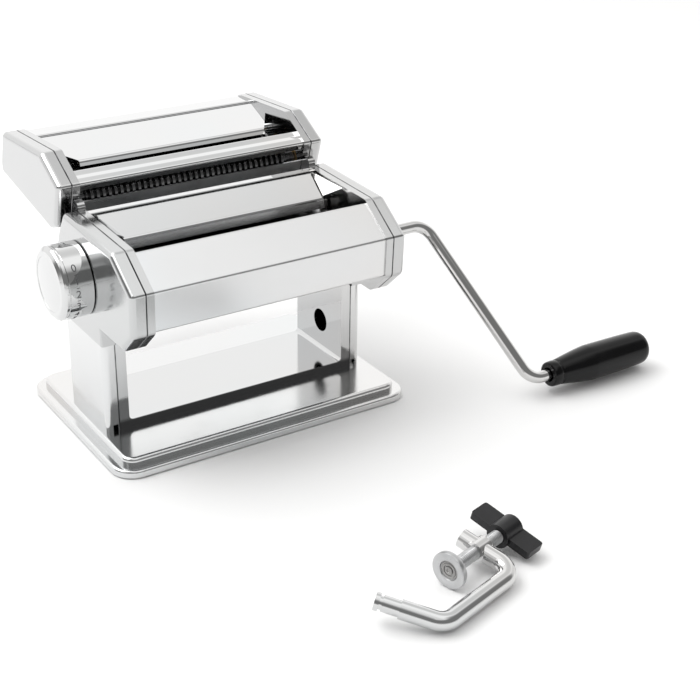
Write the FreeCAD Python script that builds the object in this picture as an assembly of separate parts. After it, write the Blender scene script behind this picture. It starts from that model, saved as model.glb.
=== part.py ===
"""Hand-cranked pasta roller machine with its lift-off cutter head and table clamp.

Millimetres. +X runs along the rollers towards the crank, +Y to the back where the
cutter head hangs, +Z up. The origin is the centre of the stand on the table.
"""
import FreeCAD, Part
import math
import os

V = FreeCAD.Vector

# ---------------------------------------------------------------- driving sizes
# stand
plateau_height = 10.5
base_overhang_x = 11.9       # stand beyond the legs, each end
base_depth = 146.0
base_corner_radius = 15.0
lip_width = 6.5
lip_height = 4.6
lip_lift = 0.8               # lip above the table, so that the feet carry
sheet = 1.2                  # pressed steel
foot_radius = 7.0

# frame and legs
leg_half_depth = 28.5
flange_height = 4.8          # web above the stand
frame_flange = 6.5           # how far the frame's flanges turn outwards
frame_tab_height = 6.0       # frame wall that laps inside the end plates
clamp_hole_radius = 8.0
clamp_hole_y = -1.9
clamp_hole_height = 25.2     # above the stand

# roller head
roller_axis_height = 107.0
inner_half_width = 79.5      # half the distance between the end plates
plate_thickness = 5.2
cover_depth = 9.6
cover_rounding = 3.6
roller_diameter = 33.0
roller_half_length = 71.0
drive_axis_y = -39.9
widest_gap = 2.7
eccentricity = 1.1
seam = 0.45                  # small chamfer either side of a joint line

# outline of the head seen from its end: y, then height above the roller axis
head_outline = [(17.3, 33.7), (-52.0, 31.6), (-77.7, 13.75), (-76.65, -12.5),
                (-60.9, -27.2), (31.5, -27.2), (31.5, 8.5), (26.25, 20.0)]
head_rounding = [2.5, 5.0, 2.2, 5.0, 4.0, 2.0, 3.0, 3.0]
skirt_drop = 10.0            # how far the covers lap down over the legs
panel_inset = 1.0

# dial
knob_radius = 23.0
knob_length = 20.8
knob_gap = 0.4
settings = 10
settings_turn = 180.0
adjusting_rod_radius = 4.0

# crank
crank_rod_radius = 4.0
crank_radius = 120.0
crank_straight = 40.6        # from the cover to the first corner
crank_arm_lean = 37.5        # how far the arm leans outwards over its length
crank_bend = 13.0
grip_length = 84.0
grip_radius = 12.3
grip_neck_radius = 8.6
grip_floor_gap = 1.5
square_drive = 6.0
socket_depth = 22.0
socket_round = 8.0

# cutter head, in its own frame: u to the back, w up
cutter_origin_y = 39.9
cutter_origin_above_axis = 15.9
cutter_tilt = 9.8
cutter_outline = [(0.0, 0.0), (80.0, 0.0), (82.2, 7.1), (78.4, 30.2), (14.7, 45.3),
                  (-13.6, 35.4), (-9.65, 5.8)]
cutter_rounding = [3.0, 3.0, 3.0, 4.0, 5.0, 2.2, 3.0]
cutter_radius = 10.3
disc_overlap = 1.6           # how far the discs of a pair reach into each other
groove_depth = 3.2
cutter_axis_w = 18.0
front_pair_u = 1.5
pair_clearance = 4.9         # between the discs of the two pairs
narrow_cut = 2.0
wide_cut = 6.5
cutter_half_length = 70.0
cutter_journal = 5.6
rail_length = 21.0

# table clamp
clamp_rod_radius = 5.3
clamp_corner = (33.0, -272.5)
clamp_heading = 195.8        # spine direction from the screw end, seen from above
clamp_spine = 61.0
clamp_upper_arm = 35.0
clamp_lower_arm = 24.0        # full-size part, to the step
clamp_tip = 13.5              # the thinner end that goes into the stand
clamp_tip_radius = 4.5
clamp_upper_turn = 96.0
clamp_lower_turn = 118.0
clamp_bend = 10.0
clamp_screw_offset = 23.0    # screw axis to spine axis
screw_radius = 4.0
screw_length = 52.0
pad_radius = 10.7
pad_thickness = 3.4
wing_half_span = 20.5

# clearances
running = 0.05               # shaft in bush, radial
seat = 0.02                  # parts fixed to each other on a shaft
soft = 0.3                   # everything else that moves past its neighbour
comb_gap = 0.4
cut_clearance = 0.1          # each side of a cutting disc

# ---------------------------------------------------------------- worked out
outer_half_width = inner_half_width + plate_thickness
cover_face = outer_half_width + cover_depth
cover_inside = cover_face - sheet
frame_inside = outer_half_width - frame_flange
base_half_length = cover_face - sheet + base_overhang_x
base_half_depth = base_depth / 2
web_top = plateau_height + flange_height
roller_radius = roller_diameter / 2
head_bottom = roller_axis_height + head_outline[4][1]
adjust_axis_y = drive_axis_y + roller_diameter + widest_gap
dial_axis_y = adjust_axis_y - eccentricity
cutter_origin_z = roller_axis_height + cutter_origin_above_axis
cutter_spacing = 2 * cutter_radius - disc_overlap
rear_pair_u = front_pair_u + cutter_spacing + 2 * cutter_radius + pair_clearance
shaft_end = cover_inside - 0.2


def box(x0, x1, y0, y1, z0, z1):
    """A box between two corners, whichever way round they are given."""
    low = V(min(x0, x1), min(y0, y1), min(z0, z1))
    high = V(max(x0, x1), max(y0, y1), max(z0, z1))
    size = high - low
    return Part.makeBox(size.x, size.y, size.z, low)


def rod(radius, start, end):
    """A cylinder from one point to another."""
    start, end = V(*start), V(*end)
    return Part.makeCylinder(radius, (end - start).Length, start, end - start)


def along_x(radius, x0, x1, y, z):
    return rod(radius, (x0, y, z), (x1, y, z))


def fuse(shapes):
    """One shape from several, without leftover seams."""
    whole = shapes[0]
    if len(shapes) > 1:
        whole = whole.fuse(shapes[1:])
    return whole.removeSplitter()


def mirrored(shape):
    """The same piece for the other end of the machine."""
    return shape.mirror(V(0, 0, 0), V(1, 0, 0))


def both_ends(shape):
    return [mirrored(shape), shape]


def tilted(shape, angle, y, z):
    """Turn about X, then carry the piece's own origin to y, z."""
    placed = shape.copy()
    placed.rotate(V(0, 0, 0), V(1, 0, 0), angle)
    placed.translate(V(0, y, z))
    return placed


def inset(outline, distance):
    """The outline moved inwards by a distance, corner by corner."""
    count = len(outline)
    area = sum(outline[i][0] * outline[(i + 1) % count][1]
               - outline[(i + 1) % count][0] * outline[i][1] for i in range(count))
    side = 1 if area > 0 else -1
    moved = []
    for i in range(count):
        (ax, ay), (bx, by), (cx, cy) = outline[i - 1], outline[i], outline[(i + 1) % count]
        first = math.hypot(bx - ax, by - ay)
        second = math.hypot(cx - bx, cy - by)
        nx1, ny1 = -(by - ay) / first * side, (bx - ax) / first * side
        nx2, ny2 = -(cy - by) / second * side, (cx - bx) / second * side
        scale = distance / (1 + nx1 * nx2 + ny1 * ny2)
        moved.append((bx + (nx1 + nx2) * scale, by + (ny1 + ny2) * scale))
    return moved


def rounded_wire(points, radii, closed=True):
    """Straight runs joined by tangent arcs; a radius of 0 leaves the corner sharp."""
    count = len(points)
    corners = [V(*p) for p in points]
    ends = []
    for i, corner in enumerate(corners):
        if not closed and i in (0, count - 1) or radii[i] <= 0:
            ends.append((corner, None, corner))
            continue
        back = (corners[i - 1] - corner).normalize()
        ahead = (corners[(i + 1) % count] - corner).normalize()
        half = math.acos(max(-1.0, min(1.0, back.dot(ahead)))) / 2
        reach = radii[i] / math.tan(half)
        middle = (back + ahead).normalize() * (radii[i] / math.sin(half) - radii[i])
        ends.append((corner + back * reach, corner + middle, corner + ahead * reach))
    edges = []
    for i in range(count):
        start, middle, end = ends[i]
        if middle is not None:
            edges.append(Part.Arc(start, middle, end).toShape())
        if i + 1 < count or closed:
            following = ends[(i + 1) % count][0]
            if (following - end).Length > 1e-6:
                edges.append(Part.LineSegment(end, following).toShape())
    return Part.Wire(edges)


def prism(outline, x0, x1, radii=None, lift=0.0):
    """An outline in y, z pushed along X."""
    radii = radii or [0.0] * len(outline)
    wire = rounded_wire([(x0, y, z + lift) for y, z in outline], radii)
    return Part.Face(wire).extrude(V(x1 - x0, 0, 0))


def strip(path, thickness, x0, x1, radii=None, lift=0.0):
    """A bent sheet: an open path in y, z thickened to its right-hand side, along X."""
    radii = radii or [0.0] * len(path)
    moved = []
    count = len(path)
    for i, (y, z) in enumerate(path):
        normals = []
        if i > 0:
            dy, dz = y - path[i - 1][0], z - path[i - 1][1]
            normals.append((dz / math.hypot(dy, dz), -dy / math.hypot(dy, dz)))
        if i < count - 1:
            dy, dz = path[i + 1][0] - y, path[i + 1][1] - z
            normals.append((dz / math.hypot(dy, dz), -dy / math.hypot(dy, dz)))
        ny = sum(n[0] for n in normals)
        nz = sum(n[1] for n in normals)
        if len(normals) == 2:
            scale = thickness / (1 + normals[0][0] * normals[1][0] + normals[0][1] * normals[1][1])
        else:
            scale = thickness
        moved.append((y + ny * scale, z + nz * scale))
    inner_radii = [max(radius - thickness, 0.0) if turns_right(path, i) else
                   (radius + thickness if radius > 0 else 0.0) for i, radius in enumerate(radii)]
    return prism(path + moved[::-1], x0, x1, radii + inner_radii[::-1], lift)


def turns_right(path, i):
    """True where the path bends towards its thick side."""
    if i in (0, len(path) - 1):
        return True
    (ay, az), (by, bz), (cy, cz) = path[i - 1], path[i], path[i + 1]
    return (by - ay) * (cz - bz) - (bz - az) * (cy - by) < 0


def edges_at(shape, x):
    """The edges that lie wholly in one plane across the machine."""
    chosen = []
    for edge in shape.Edges:
        limits = edge.BoundBox
        if abs(limits.XMin - x) < 1e-4 and abs(limits.XMax - x) < 1e-4:
            chosen.append(edge)
    return chosen


def revolved(profile, y, z):
    """A turned piece: x, radius points spun about an axis along X."""
    points = [V(x, r, 0) for x, r in profile]
    points.append(points[0])
    solid = Part.Face(Part.makePolygon(points)).revolve(V(0, 0, 0), V(1, 0, 0), 360)
    solid.translate(V(0, y, z))
    return solid


def thin_plate(corners, thickness):
    """A flat plate on three or four corners, thickened along its normal."""
    points = [V(*c) for c in corners]
    normal = (points[1] - points[0]).cross(points[2] - points[0]).normalize()
    face = Part.Face(Part.makePolygon(points + [points[0]]))
    return face.extrude(normal * thickness)


def gear(teeth, tip_radius, root_radius, bore, x0, x1, root_width, tip_width, phase, y, z):
    """A spur gear with straight-sided deep teeth; one tooth points along phase degrees."""
    points = []
    pitch = 2 * math.pi / teeth
    root_half = root_width / 2 / root_radius
    tip_half = tip_width / 2 / tip_radius
    for i in range(teeth):
        centre = math.radians(phase) + i * pitch
        for radius, angle in ((root_radius, -root_half), (tip_radius, -tip_half),
                              (tip_radius, tip_half), (root_radius, root_half)):
            points.append(V(x0, radius * math.cos(centre + angle), radius * math.sin(centre + angle)))
    points.append(points[0])
    blank = Part.Face(Part.makePolygon(points)).extrude(V(x1 - x0, 0, 0))
    blank = blank.cut(along_x(bore, x0 - 1, x1 + 1, 0, 0))
    blank.translate(V(0, y, z))
    return blank


def rounded_slab(half_x, half_y, corner, z0, z1):
    """A slab with rounded corners seen from above."""
    slab = box(-half_x, half_x, -half_y, half_y, z0, z1)
    uprights = [e for e in slab.Edges if abs(e.BoundBox.ZLength - (z1 - z0)) < 1e-6]
    return slab.makeFillet(corner, uprights)


def flat_edges(shape, z):
    """The edges that lie at one height."""
    return [e for e in shape.Edges if abs(e.BoundBox.ZMin - z) < 1e-4 and abs(e.BoundBox.ZMax - z) < 1e-4]


def export(name, pieces):
    """Write one node; a list becomes a group of separate solids."""
    solids = pieces if isinstance(pieces, list) else [pieces]
    found = []
    for piece in solids:
        found.extend(piece.Solids)
    for solid in found:
        if not solid.isValid() or solid.Volume <= 0:
            print("CHECK", name, "has a bad solid")
    shape = found[0] if len(found) == 1 else Part.makeCompound(found)
    shape.exportStep("parts/" + name + ".step")
    print(name, len(found), "solid(s)")


# ---------------------------------------------------------------- stand
def make_base():
    """A hollow pressed tray: a raised plateau, a groove and a rolled lip."""
    lip_top = lip_lift + lip_height
    lip = rounded_slab(base_half_length, base_half_depth, base_corner_radius, lip_lift, lip_top)
    lip = lip.makeFillet(1.9, flat_edges(lip, lip_top))
    plateau = rounded_slab(base_half_length - lip_width, base_half_depth - lip_width,
                           base_corner_radius - lip_width, lip_lift, plateau_height)
    plateau = plateau.makeFillet(2.6, flat_edges(plateau, plateau_height))
    hollow_lip = rounded_slab(base_half_length - sheet, base_half_depth - sheet,
                              base_corner_radius - sheet, lip_lift - 1, lip_top - sheet)
    hollow_top = rounded_slab(base_half_length - lip_width - sheet - 0.8,
                              base_half_depth - lip_width - sheet - 0.8,
                              base_corner_radius - lip_width - sheet, lip_lift - 1,
                              plateau_height - sheet)
    hollow_lip = hollow_lip.makeFillet(1.2, flat_edges(hollow_lip, lip_top - sheet))
    return fuse([lip, plateau]).cut(fuse([hollow_lip, hollow_top]))


def make_feet():
    """Four rubber feet pushed up against the underside of the plateau."""
    reach_x = base_half_length - lip_width - 2 * foot_radius
    reach_y = base_half_depth - lip_width - 2 * foot_radius
    feet = []
    for sx in (-1, 1):
        for sy in (-1, 1):
            foot = Part.makeCylinder(foot_radius, plateau_height - sheet, V(sx * reach_x, sy * reach_y, 0))
            feet.append(foot.makeFillet(0.8, flat_edges(foot, 0)))
    return feet


def band_section(outer_x, outer_z, inner_x, inner_z, top):
    """A U seen from the front, between an outer and an inner boundary."""
    return [(-outer_x, top), (-outer_x, outer_z), (outer_x, outer_z), (outer_x, top),
            (inner_x, top), (inner_x, inner_z), (-inner_x, inner_z), (-inner_x, top)]


def upright(points, radii, y0, y1):
    """An outline in x, z pushed along Y."""
    wire = rounded_wire([(x, y0, z) for x, z in points], radii)
    return Part.Face(wire).extrude(V(0, y1 - y0, 0))


def make_frame():
    """The U-shaped channel: a web on the stand and two walls, with flanges turned outwards."""
    bend = 3.0
    wall_outer = frame_inside + sheet
    skin = upright(band_section(wall_outer, web_top - sheet, frame_inside, web_top, head_bottom),
                   [0, bend + sheet, bend + sheet, 0, 0, bend, bend, 0], -leg_half_depth, leg_half_depth)
    pieces = [skin]
    for side in (-1, 1):
        flange = upright(band_section(outer_half_width, plateau_height, frame_inside, web_top, head_bottom),
                         [0, 0, 0, 0, 0, bend, bend, 0],
                         side * leg_half_depth, side * (leg_half_depth - sheet))
        pieces.append(flange)
        tab = box(side * frame_inside, side * wall_outer, -leg_half_depth + 6, leg_half_depth - 6,
                  head_bottom - 1, head_bottom + frame_tab_height)
        pieces.append(tab)
    frame = fuse(pieces)
    hole = along_x(clamp_hole_radius, frame_inside - 1, wall_outer + 1, clamp_hole_y,
                   plateau_height + clamp_hole_height)
    return frame.cut(hole)


def make_leg_shell():
    """The outer half of the right leg: a channel that closes the frame's flanges."""
    top = head_bottom
    outside = box(outer_half_width, cover_inside, -leg_half_depth, leg_half_depth, plateau_height, top)
    corners = [e for e in outside.Edges
               if e.BoundBox.ZLength > 1 and abs(e.BoundBox.XMin - cover_inside) < 1e-4]
    outside = outside.makeFillet(4.0, corners)
    inside = box(outer_half_width - 1, cover_inside - sheet, -leg_half_depth + sheet,
                 leg_half_depth - sheet, plateau_height - 1, top + 1)
    corners = [e for e in inside.Edges
               if e.BoundBox.ZLength > 1 and abs(e.BoundBox.XMax - (cover_inside - sheet)) < 1e-4]
    inside = inside.makeFillet(2.8, corners)
    notch = box(outer_half_width + 1.2, outer_half_width + 4.6, -leg_half_depth - 1, -leg_half_depth + sheet + 1,
                plateau_height - 1, plateau_height + 4.0)
    return outside.cut(inside).cut(notch)


def make_base_bolts():
    """Bolts that hold the web down on the stand, headed under the tray."""
    bolts = []
    reach_x = frame_inside - 14
    reach_y = leg_half_depth - 12
    for sx in (-1, 1):
        for sy in (-1, 1):
            x, y = sx * reach_x, sy * reach_y
            head = rod(4.0, (x, y, plateau_height - sheet - 2.4), (x, y, plateau_height - sheet))
            shank = rod(2.0, (x, y, plateau_height - sheet), (x, y, web_top - sheet))
            bolts.append(fuse([head, shank]))
    return bolts


def drill_base(tray):
    reach_x = frame_inside - 14
    reach_y = leg_half_depth - 12
    for sx in (-1, 1):
        for sy in (-1, 1):
            x, y = sx * reach_x, sy * reach_y
            tray = tray.cut(rod(2.0 + seat, (x, y, plateau_height - sheet - 1), (x, y, plateau_height + 1)))
    return tray


# ---------------------------------------------------------------- roller head
eccentric_seat = 14.0        # hole in the end plate for the eccentric bush
floating_outer = 11.5        # eccentric bore
journal_radius = 9.8
drive_journal = 6.0
drive_bush_outer = 9.0
tie_rod_radius = 3.0
tie_rod_places = [(-58.5, -16.0), (22.0, -14.0), (12.5, 23.5), (-66.0, 8.0)]
axis_z = roller_axis_height


def end_plate_holes(plate):
    """The seats of the drive bush, the eccentric bush and the tie rods."""
    x0, x1 = inner_half_width - 1, outer_half_width + 1
    plate = plate.cut(along_x(drive_bush_outer, x0, x1, drive_axis_y, axis_z))
    plate = plate.cut(along_x(eccentric_seat, x0, x1, dial_axis_y, axis_z))
    for y, above in tie_rod_places:
        plate = plate.cut(along_x(tie_rod_radius - 1 + seat, x0, x1, y, axis_z + above))
    return plate


def cutter_front_angle():
    """Lean of the cutter head's front edge away from upright, once mounted."""
    (u0, w0), (u1, w1) = cutter_outline[6], cutter_outline[5]
    return math.degrees(math.atan2(-(u1 - u0), w1 - w0)) + cutter_tilt


def cutter_to_machine(u, w):
    """A point of the cutter head's own frame in machine y, z."""
    a = math.radians(cutter_tilt)
    return (cutter_origin_y + u * math.cos(a) - w * math.sin(a),
            cutter_origin_z + u * math.sin(a) + w * math.cos(a))


front_angle = cutter_front_angle()
front_foot = cutter_to_machine(*cutter_outline[6])
rail_gap = 0.6               # rail plate to the cutter head's front edge
rail_neck = 1.8
rail_head = 3.0
rail_neck_depth = 2.4
rail_head_depth = 1.5
rail_middle = inner_half_width + plate_thickness / 2


def make_end_plate():
    """The right-hand casting between the panels and the side cover, with its rail lug."""
    plate = prism(head_outline, inner_half_width, outer_half_width, head_rounding, axis_z)
    lug = box(inner_half_width, outer_half_width, -9.0, -rail_gap, -7.0, rail_length)
    top = [e for e in lug.Edges if e.BoundBox.XLength > 1 and abs(e.BoundBox.ZMin - rail_length) < 1e-4]
    lug = tilted(lug.makeFillet(3.0, top), front_angle, *front_foot)
    plate = end_plate_holes(fuse([plate, lug]))
    return plate.makeChamfer(seam, edges_at(prism_rim(plate), outer_half_width))


def prism_rim(plate):
    """Only the outer rim of a plate, so that a seam chamfer leaves its holes alone."""
    face = max((f for f in plate.Faces if abs(f.BoundBox.XMin - outer_half_width) < 1e-4
                and abs(f.BoundBox.XMax - outer_half_width) < 1e-4), key=lambda f: f.Area)
    return face.OuterWire


def make_rail():
    """A T-shaped rail on the lug, which the cutter head slides down on."""
    neck = box(rail_middle - rail_neck / 2, rail_middle + rail_neck / 2, -rail_gap, rail_neck_depth, 1.0, rail_length - 4)
    head = box(rail_middle - rail_head / 2, rail_middle + rail_head / 2, rail_neck_depth - rail_head_depth,
               rail_neck_depth, 1.0, rail_length - 4)
    return tilted(fuse([neck, head]), front_angle, *front_foot)


def make_cover(outline, rounding, lift):
    """A side cover: a dished shell with a soft outer edge."""
    shell = prism(outline, outer_half_width, cover_face, rounding, lift)
    shell = shell.makeFillet(cover_rounding, edges_at(shell, cover_face))
    shell = shell.makeChamfer(seam, edges_at(shell, outer_half_width))
    inner_rounding = [max(radius - sheet, 0.8) for radius in rounding]
    hollow = prism(inset(outline, sheet + 0.3), outer_half_width - 1, cover_inside, inner_rounding, lift)
    rim = cover_rounding - sheet
    hollow = hollow.makeFillet(rim, edges_at(hollow, cover_inside))
    return shell.cut(hollow)


def make_head_cover():
    """The right cover, with the skirt that laps over the leg and the crank's hole."""
    cover = make_cover(head_outline, head_rounding, axis_z)
    skirt_half = leg_half_depth + 0.2 + sheet
    skirt = box(outer_half_width, cover_face, -skirt_half, skirt_half, head_bottom - skirt_drop, head_bottom + 4)
    soft_edges = [e for e in skirt.Edges if abs(e.BoundBox.XMin - cover_face) < 1e-4
                  and (e.BoundBox.ZLength > 1 or abs(e.BoundBox.ZMin - (head_bottom - skirt_drop)) < 1e-4)]
    skirt = skirt.makeFillet(1.15, [e for e in soft_edges if e.BoundBox.ZLength < 1]
                             + [e for e in soft_edges if e.BoundBox.ZLength > 1])
    cover = fuse([cover, skirt])
    leg_room = box(outer_half_width - 1, cover_inside, -leg_half_depth - 0.2, leg_half_depth + 0.2,
                   head_bottom - skirt_drop - 1, head_bottom + 6)
    return cover.cut(leg_room)


def make_front_panel():
    """One bent sheet: the sloping upper face, a sharp nose and the upright lower face."""
    top, nose, low = [inset(head_outline, panel_inset)[i] for i in (1, 2, 3)]
    upper = (top[0] - 1.2, top[1] - 1.2 * (top[1] - nose[1]) / (top[0] - nose[0]))
    turned_in = (upper[0] + 5.0, upper[1] - 3.4)
    lip = (low[0] + 4.0, low[1] - 0.6)
    path = [lip, low, nose, upper, turned_in]
    return strip(path, sheet, -inner_half_width, inner_half_width, [0, 1.8, 2.0, 1.6, 0], axis_z)


def make_back_panel():
    """The rear sheet: a flat top strip, the back slope and the upright back."""
    outline = inset(head_outline, panel_inset)
    back_top, low, middle, upper = outline[0], outline[5], outline[6], outline[7]
    start = (hopper_top[0] + 1.4, hopper_top[1] + 0.6)
    path = [start, (back_top[0] - 1.2, start[1] + 0.4), upper, middle, (low[0], low[1] + 6.0)]
    return strip(path, sheet, -inner_half_width, inner_half_width, [0, 1.6, 2.0, 2.0, 0], axis_z)


hopper_top = (9.5, 32.0)     # y, height above the roller axis
hopper_foot = (-17.85, 24.25)
hopper_chute = (-19.6, 17.5)
hopper_half_top = 77.0
hopper_half_foot = 70.0


def make_hopper():
    """The feed plate that slopes to the nip, with a short chute and folded side wings."""
    lip = (hopper_top[0] + 0.6, hopper_top[1] - 3.2)
    path = [hopper_chute, hopper_foot, hopper_top, lip]
    plate = strip(path, sheet, -inner_half_width, inner_half_width, [0, 2.0, 1.6, 0], axis_z)
    for side in (-1, 1):
        far = inner_half_width + 1
        corner_points = [(side * hopper_half_foot, -30, axis_z), (side * far, -30, axis_z),
                         (side * far, hopper_top[0] - 0.5, axis_z), (side * hopper_half_top, hopper_top[0] - 0.5, axis_z),
                         (side * hopper_half_foot, hopper_foot[0], axis_z)]
        face = Part.Face(Part.makePolygon([V(*p) for p in corner_points + corner_points[:1]]))
        plate = plate.cut(face.extrude(V(0, 0, 60)))
    return plate


def make_hopper_wings():
    """Two cheeks from the feed plate's slanting sides up to the end plates."""
    top_y, top_z = hopper_top[0] - 1.5, axis_z + hopper_top[1] + 0.2
    foot_y, foot_z = hopper_foot[0], axis_z + hopper_foot[1] + 0.5
    high = axis_z + hopper_top[1] - 0.6
    cheek = thin_plate([(hopper_half_top + 0.3, top_y, top_z), (hopper_half_foot + 0.3, foot_y, foot_z),
                        (inner_half_width - 0.7, foot_y - 10, high)], 0.8)
    return both_ends(cheek)


def make_tie_rods():
    """Spacer rods that hold the end plates apart, with turned-down ends."""
    rods = []
    for y, above in tie_rod_places:
        middle = along_x(tie_rod_radius, -inner_half_width, inner_half_width, y, axis_z + above)
        ends = along_x(tie_rod_radius - 1, -outer_half_width, outer_half_width, y, axis_z + above)
        rods.append(fuse([middle, ends]))
    return rods


def make_tie_nuts():
    """Round dome nuts on the tie rods, outside the end plates and under the covers."""
    nuts = []
    for y, above in tie_rod_places:
        nut = revolved([(outer_half_width, 0), (outer_half_width, 4.6), (outer_half_width + 2.6, 4.6),
                        (outer_half_width + 3.6, 3.2), (outer_half_width + 3.6, 0)], y, axis_z + above)
        nuts.extend(both_ends(nut))
    return nuts


scraper_reach = 26.0         # outer edge of the blades, from the roller axis


def make_scraper(axis_y, angle):
    """A blade just clear of one roller, with ears that reach the end plates."""
    far = scraper_reach
    blade = box(-roller_half_length + 1, roller_half_length - 1, roller_radius + comb_gap, far, -0.5, 0.5)
    ears = box(-inner_half_width, inner_half_width, far - 5.0, far, -0.5, 0.5)
    flap = box(-inner_half_width, inner_half_width, far - 1.0, far, -0.5, 4.0)
    return tilted(fuse([blade, ears, flap]), angle, axis_y, axis_z)


def make_drive_bushes():
    """Plain bushes for the drive roller's shaft."""
    bush = revolved([(inner_half_width, drive_journal + running), (inner_half_width, drive_bush_outer - seat),
                     (outer_half_width, drive_bush_outer - seat), (outer_half_width, drive_bush_outer + 1.5),
                     (outer_half_width + 1.2, drive_bush_outer + 1.5),
                     (outer_half_width + 1.2, drive_journal + running)], drive_axis_y, axis_z)
    return both_ends(bush)


def make_drive_roller():
    """The front roller, a thick tube."""
    outer = along_x(roller_radius, -roller_half_length, roller_half_length, drive_axis_y, axis_z)
    outer = outer.makeChamfer(0.6, edges_at(outer, roller_half_length) + edges_at(outer, -roller_half_length))
    return outer.cut(along_x(12.5, -roller_half_length - 1, roller_half_length + 1, drive_axis_y, axis_z))


def socket_cut(end, y, z):
    """A round mouth that leads into a square socket, for the crank's end."""
    half = square_drive / 2 + 0.1
    mouth = along_x(crank_rod_radius + 0.1, end - socket_round, end + 1, y, z)
    square = box(end - socket_depth, end, y - half, y + half, z - half, z + half)
    return mouth.fuse(square)


def make_drive_shaft():
    """The shaft in the drive roller, with its end discs, collar and crank socket."""
    disc = 12.5 - seat
    length = roller_half_length
    shaft = revolved([(-outer_half_width - 2, 0), (-outer_half_width - 2, drive_journal),
                      (-inner_half_width + 0.4, drive_journal), (-inner_half_width + 0.4, 9.0),
                      (-length, 9.0), (-length, disc), (-length + 6, disc), (-length + 6, drive_journal),
                      (length - 6, drive_journal), (length - 6, disc), (length, disc),
                      (length, drive_journal), (shaft_end, drive_journal), (shaft_end, 0)],
                     drive_axis_y, axis_z)
    return shaft.cut(socket_cut(shaft_end, drive_axis_y, axis_z))


roller_gear_teeth = 12
gear_x0 = roller_half_length + 1.2
gear_x1 = inner_half_width - 1.4
gear_tip = (adjust_axis_y - drive_axis_y) / 2 + 1.55
gear_root = gear_tip - 6.0
gear_root_width = 0.627 * 2 * math.pi * gear_root / roller_gear_teeth
gear_tip_width = 0.128 * 2 * math.pi * gear_tip / roller_gear_teeth


def make_roller_gear(bore, phase, y):
    """Deep-toothed gears stay in mesh while the roller gap changes."""
    return gear(roller_gear_teeth, gear_tip, gear_root, bore, gear_x0, gear_x1, gear_root_width,
                gear_tip_width, phase, y, axis_z)


def make_adjustable_roller():
    """The rear roller: hollow, with wide journals and the adjusting rod's passage."""
    passage = adjusting_rod_radius + 2 * eccentricity + 1.2
    length = roller_half_length
    end = outer_half_width - 0.4
    return revolved([(-end, passage), (-end, journal_radius), (-inner_half_width + 0.4, journal_radius),
                     (-inner_half_width + 0.4, 13.0), (-length, 13.0), (-length, roller_radius - 0.6),
                     (-length + 0.6, roller_radius), (length - 0.6, roller_radius), (length, roller_radius - 0.6),
                     (length, journal_radius), (end, journal_radius), (end, passage),
                     (length - 6, passage), (length - 6, 12.0), (-length + 6, 12.0), (-length + 6, passage)],
                    adjust_axis_y, axis_z)


def make_floating_bushes():
    """Rings between the roller's journals and the eccentric bores; they keep upright."""
    bush = revolved([(inner_half_width + 0.1, journal_radius + running),
                     (inner_half_width + 0.1, floating_outer - running),
                     (outer_half_width - 0.3, floating_outer - running),
                     (outer_half_width - 0.3, journal_radius + running)], adjust_axis_y, axis_z)
    return both_ends(bush)


def make_eccentric_bushes():
    """Round in the end plate, bored off centre for the roller, closed by a hub on the rod."""
    outer = eccentric_seat - running
    ring = along_x(outer, inner_half_width + 0.1, outer_half_width + 2.6, dial_axis_y, axis_z)
    bore = along_x(floating_outer, inner_half_width - 1, outer_half_width, adjust_axis_y, axis_z)
    rod_hole = along_x(adjusting_rod_radius + seat, inner_half_width, outer_half_width + 4, dial_axis_y, axis_z)
    return both_ends(ring.cut(bore).cut(rod_hole))


knob_inner = -cover_face - knob_gap
knob_outer = knob_inner - knob_length
spring_shoulder = knob_inner - 5.6
rod_end = spring_shoulder - 8.4
flat_depth = 3.1


def make_adjusting_rod():
    """Runs through the hollow roller and out to the dial, with a flat that turns it."""
    shaft = along_x(adjusting_rod_radius, rod_end, outer_half_width + 2.6, dial_axis_y, axis_z)
    flat = box(rod_end - 1, knob_inner + 0.2, dial_axis_y - 6, dial_axis_y + 6, axis_z + flat_depth, axis_z + 8)
    hole = along_x(1.6 + seat, rod_end - 1, rod_end + 6, dial_axis_y, axis_z)
    return shaft.cut(flat).cut(hole)


def make_dial_knob():
    """The dial: a plain drum with a groove near its face, bored for the rod and spring."""
    groove = knob_outer + 4.6
    drum = revolved([(knob_inner, 0), (knob_inner, knob_radius - 0.5), (knob_inner - 0.5, knob_radius),
                     (groove + 1.1, knob_radius), (groove + 0.9, knob_radius - 0.8),
                     (groove - 0.9, knob_radius - 0.8), (groove - 1.1, knob_radius - 0.1),
                     (knob_outer + 2.4, knob_radius - 0.8), (knob_outer + 0.9, knob_radius - 3.0),
                     (knob_outer + 0.9, 0)], dial_axis_y, axis_z)
    bore = along_x(adjusting_rod_radius + 0.1, spring_shoulder - 1, knob_inner + 1, dial_axis_y, axis_z)
    keep = box(spring_shoulder - 2, knob_inner + 2, dial_axis_y - 6, dial_axis_y + 6,
               axis_z + flat_depth + 0.1, axis_z + 8)
    pocket = along_x(8.5, knob_outer, spring_shoulder, dial_axis_y, axis_z)
    recess = along_x(17.2, knob_outer, knob_outer + 2.6, dial_axis_y, axis_z)
    pin_hole = along_x(1.5 + seat, knob_inner - 5, knob_inner + 1, dial_axis_y, axis_z + index_radius)
    return drum.cut(bore.cut(keep)).cut(pocket).cut(recess).cut(pin_hole)


index_radius = 15.0
index_hole_radius = 1.8


def make_dial_cap():
    """The dial's slightly domed face, let into the drum."""
    face = knob_outer + 2.6
    profile = [(face, 0), (face, 17.18), (knob_outer + 1.0, 17.18)]
    rings = 10
    for i in range(1, rings):
        radius = 17.18 * (1 - i / rings)
        profile.append((knob_outer + 1.0 * (radius / 17.18) ** 2, radius))
    profile.append((knob_outer, 0))
    return revolved(profile, dial_axis_y, axis_z)


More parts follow.
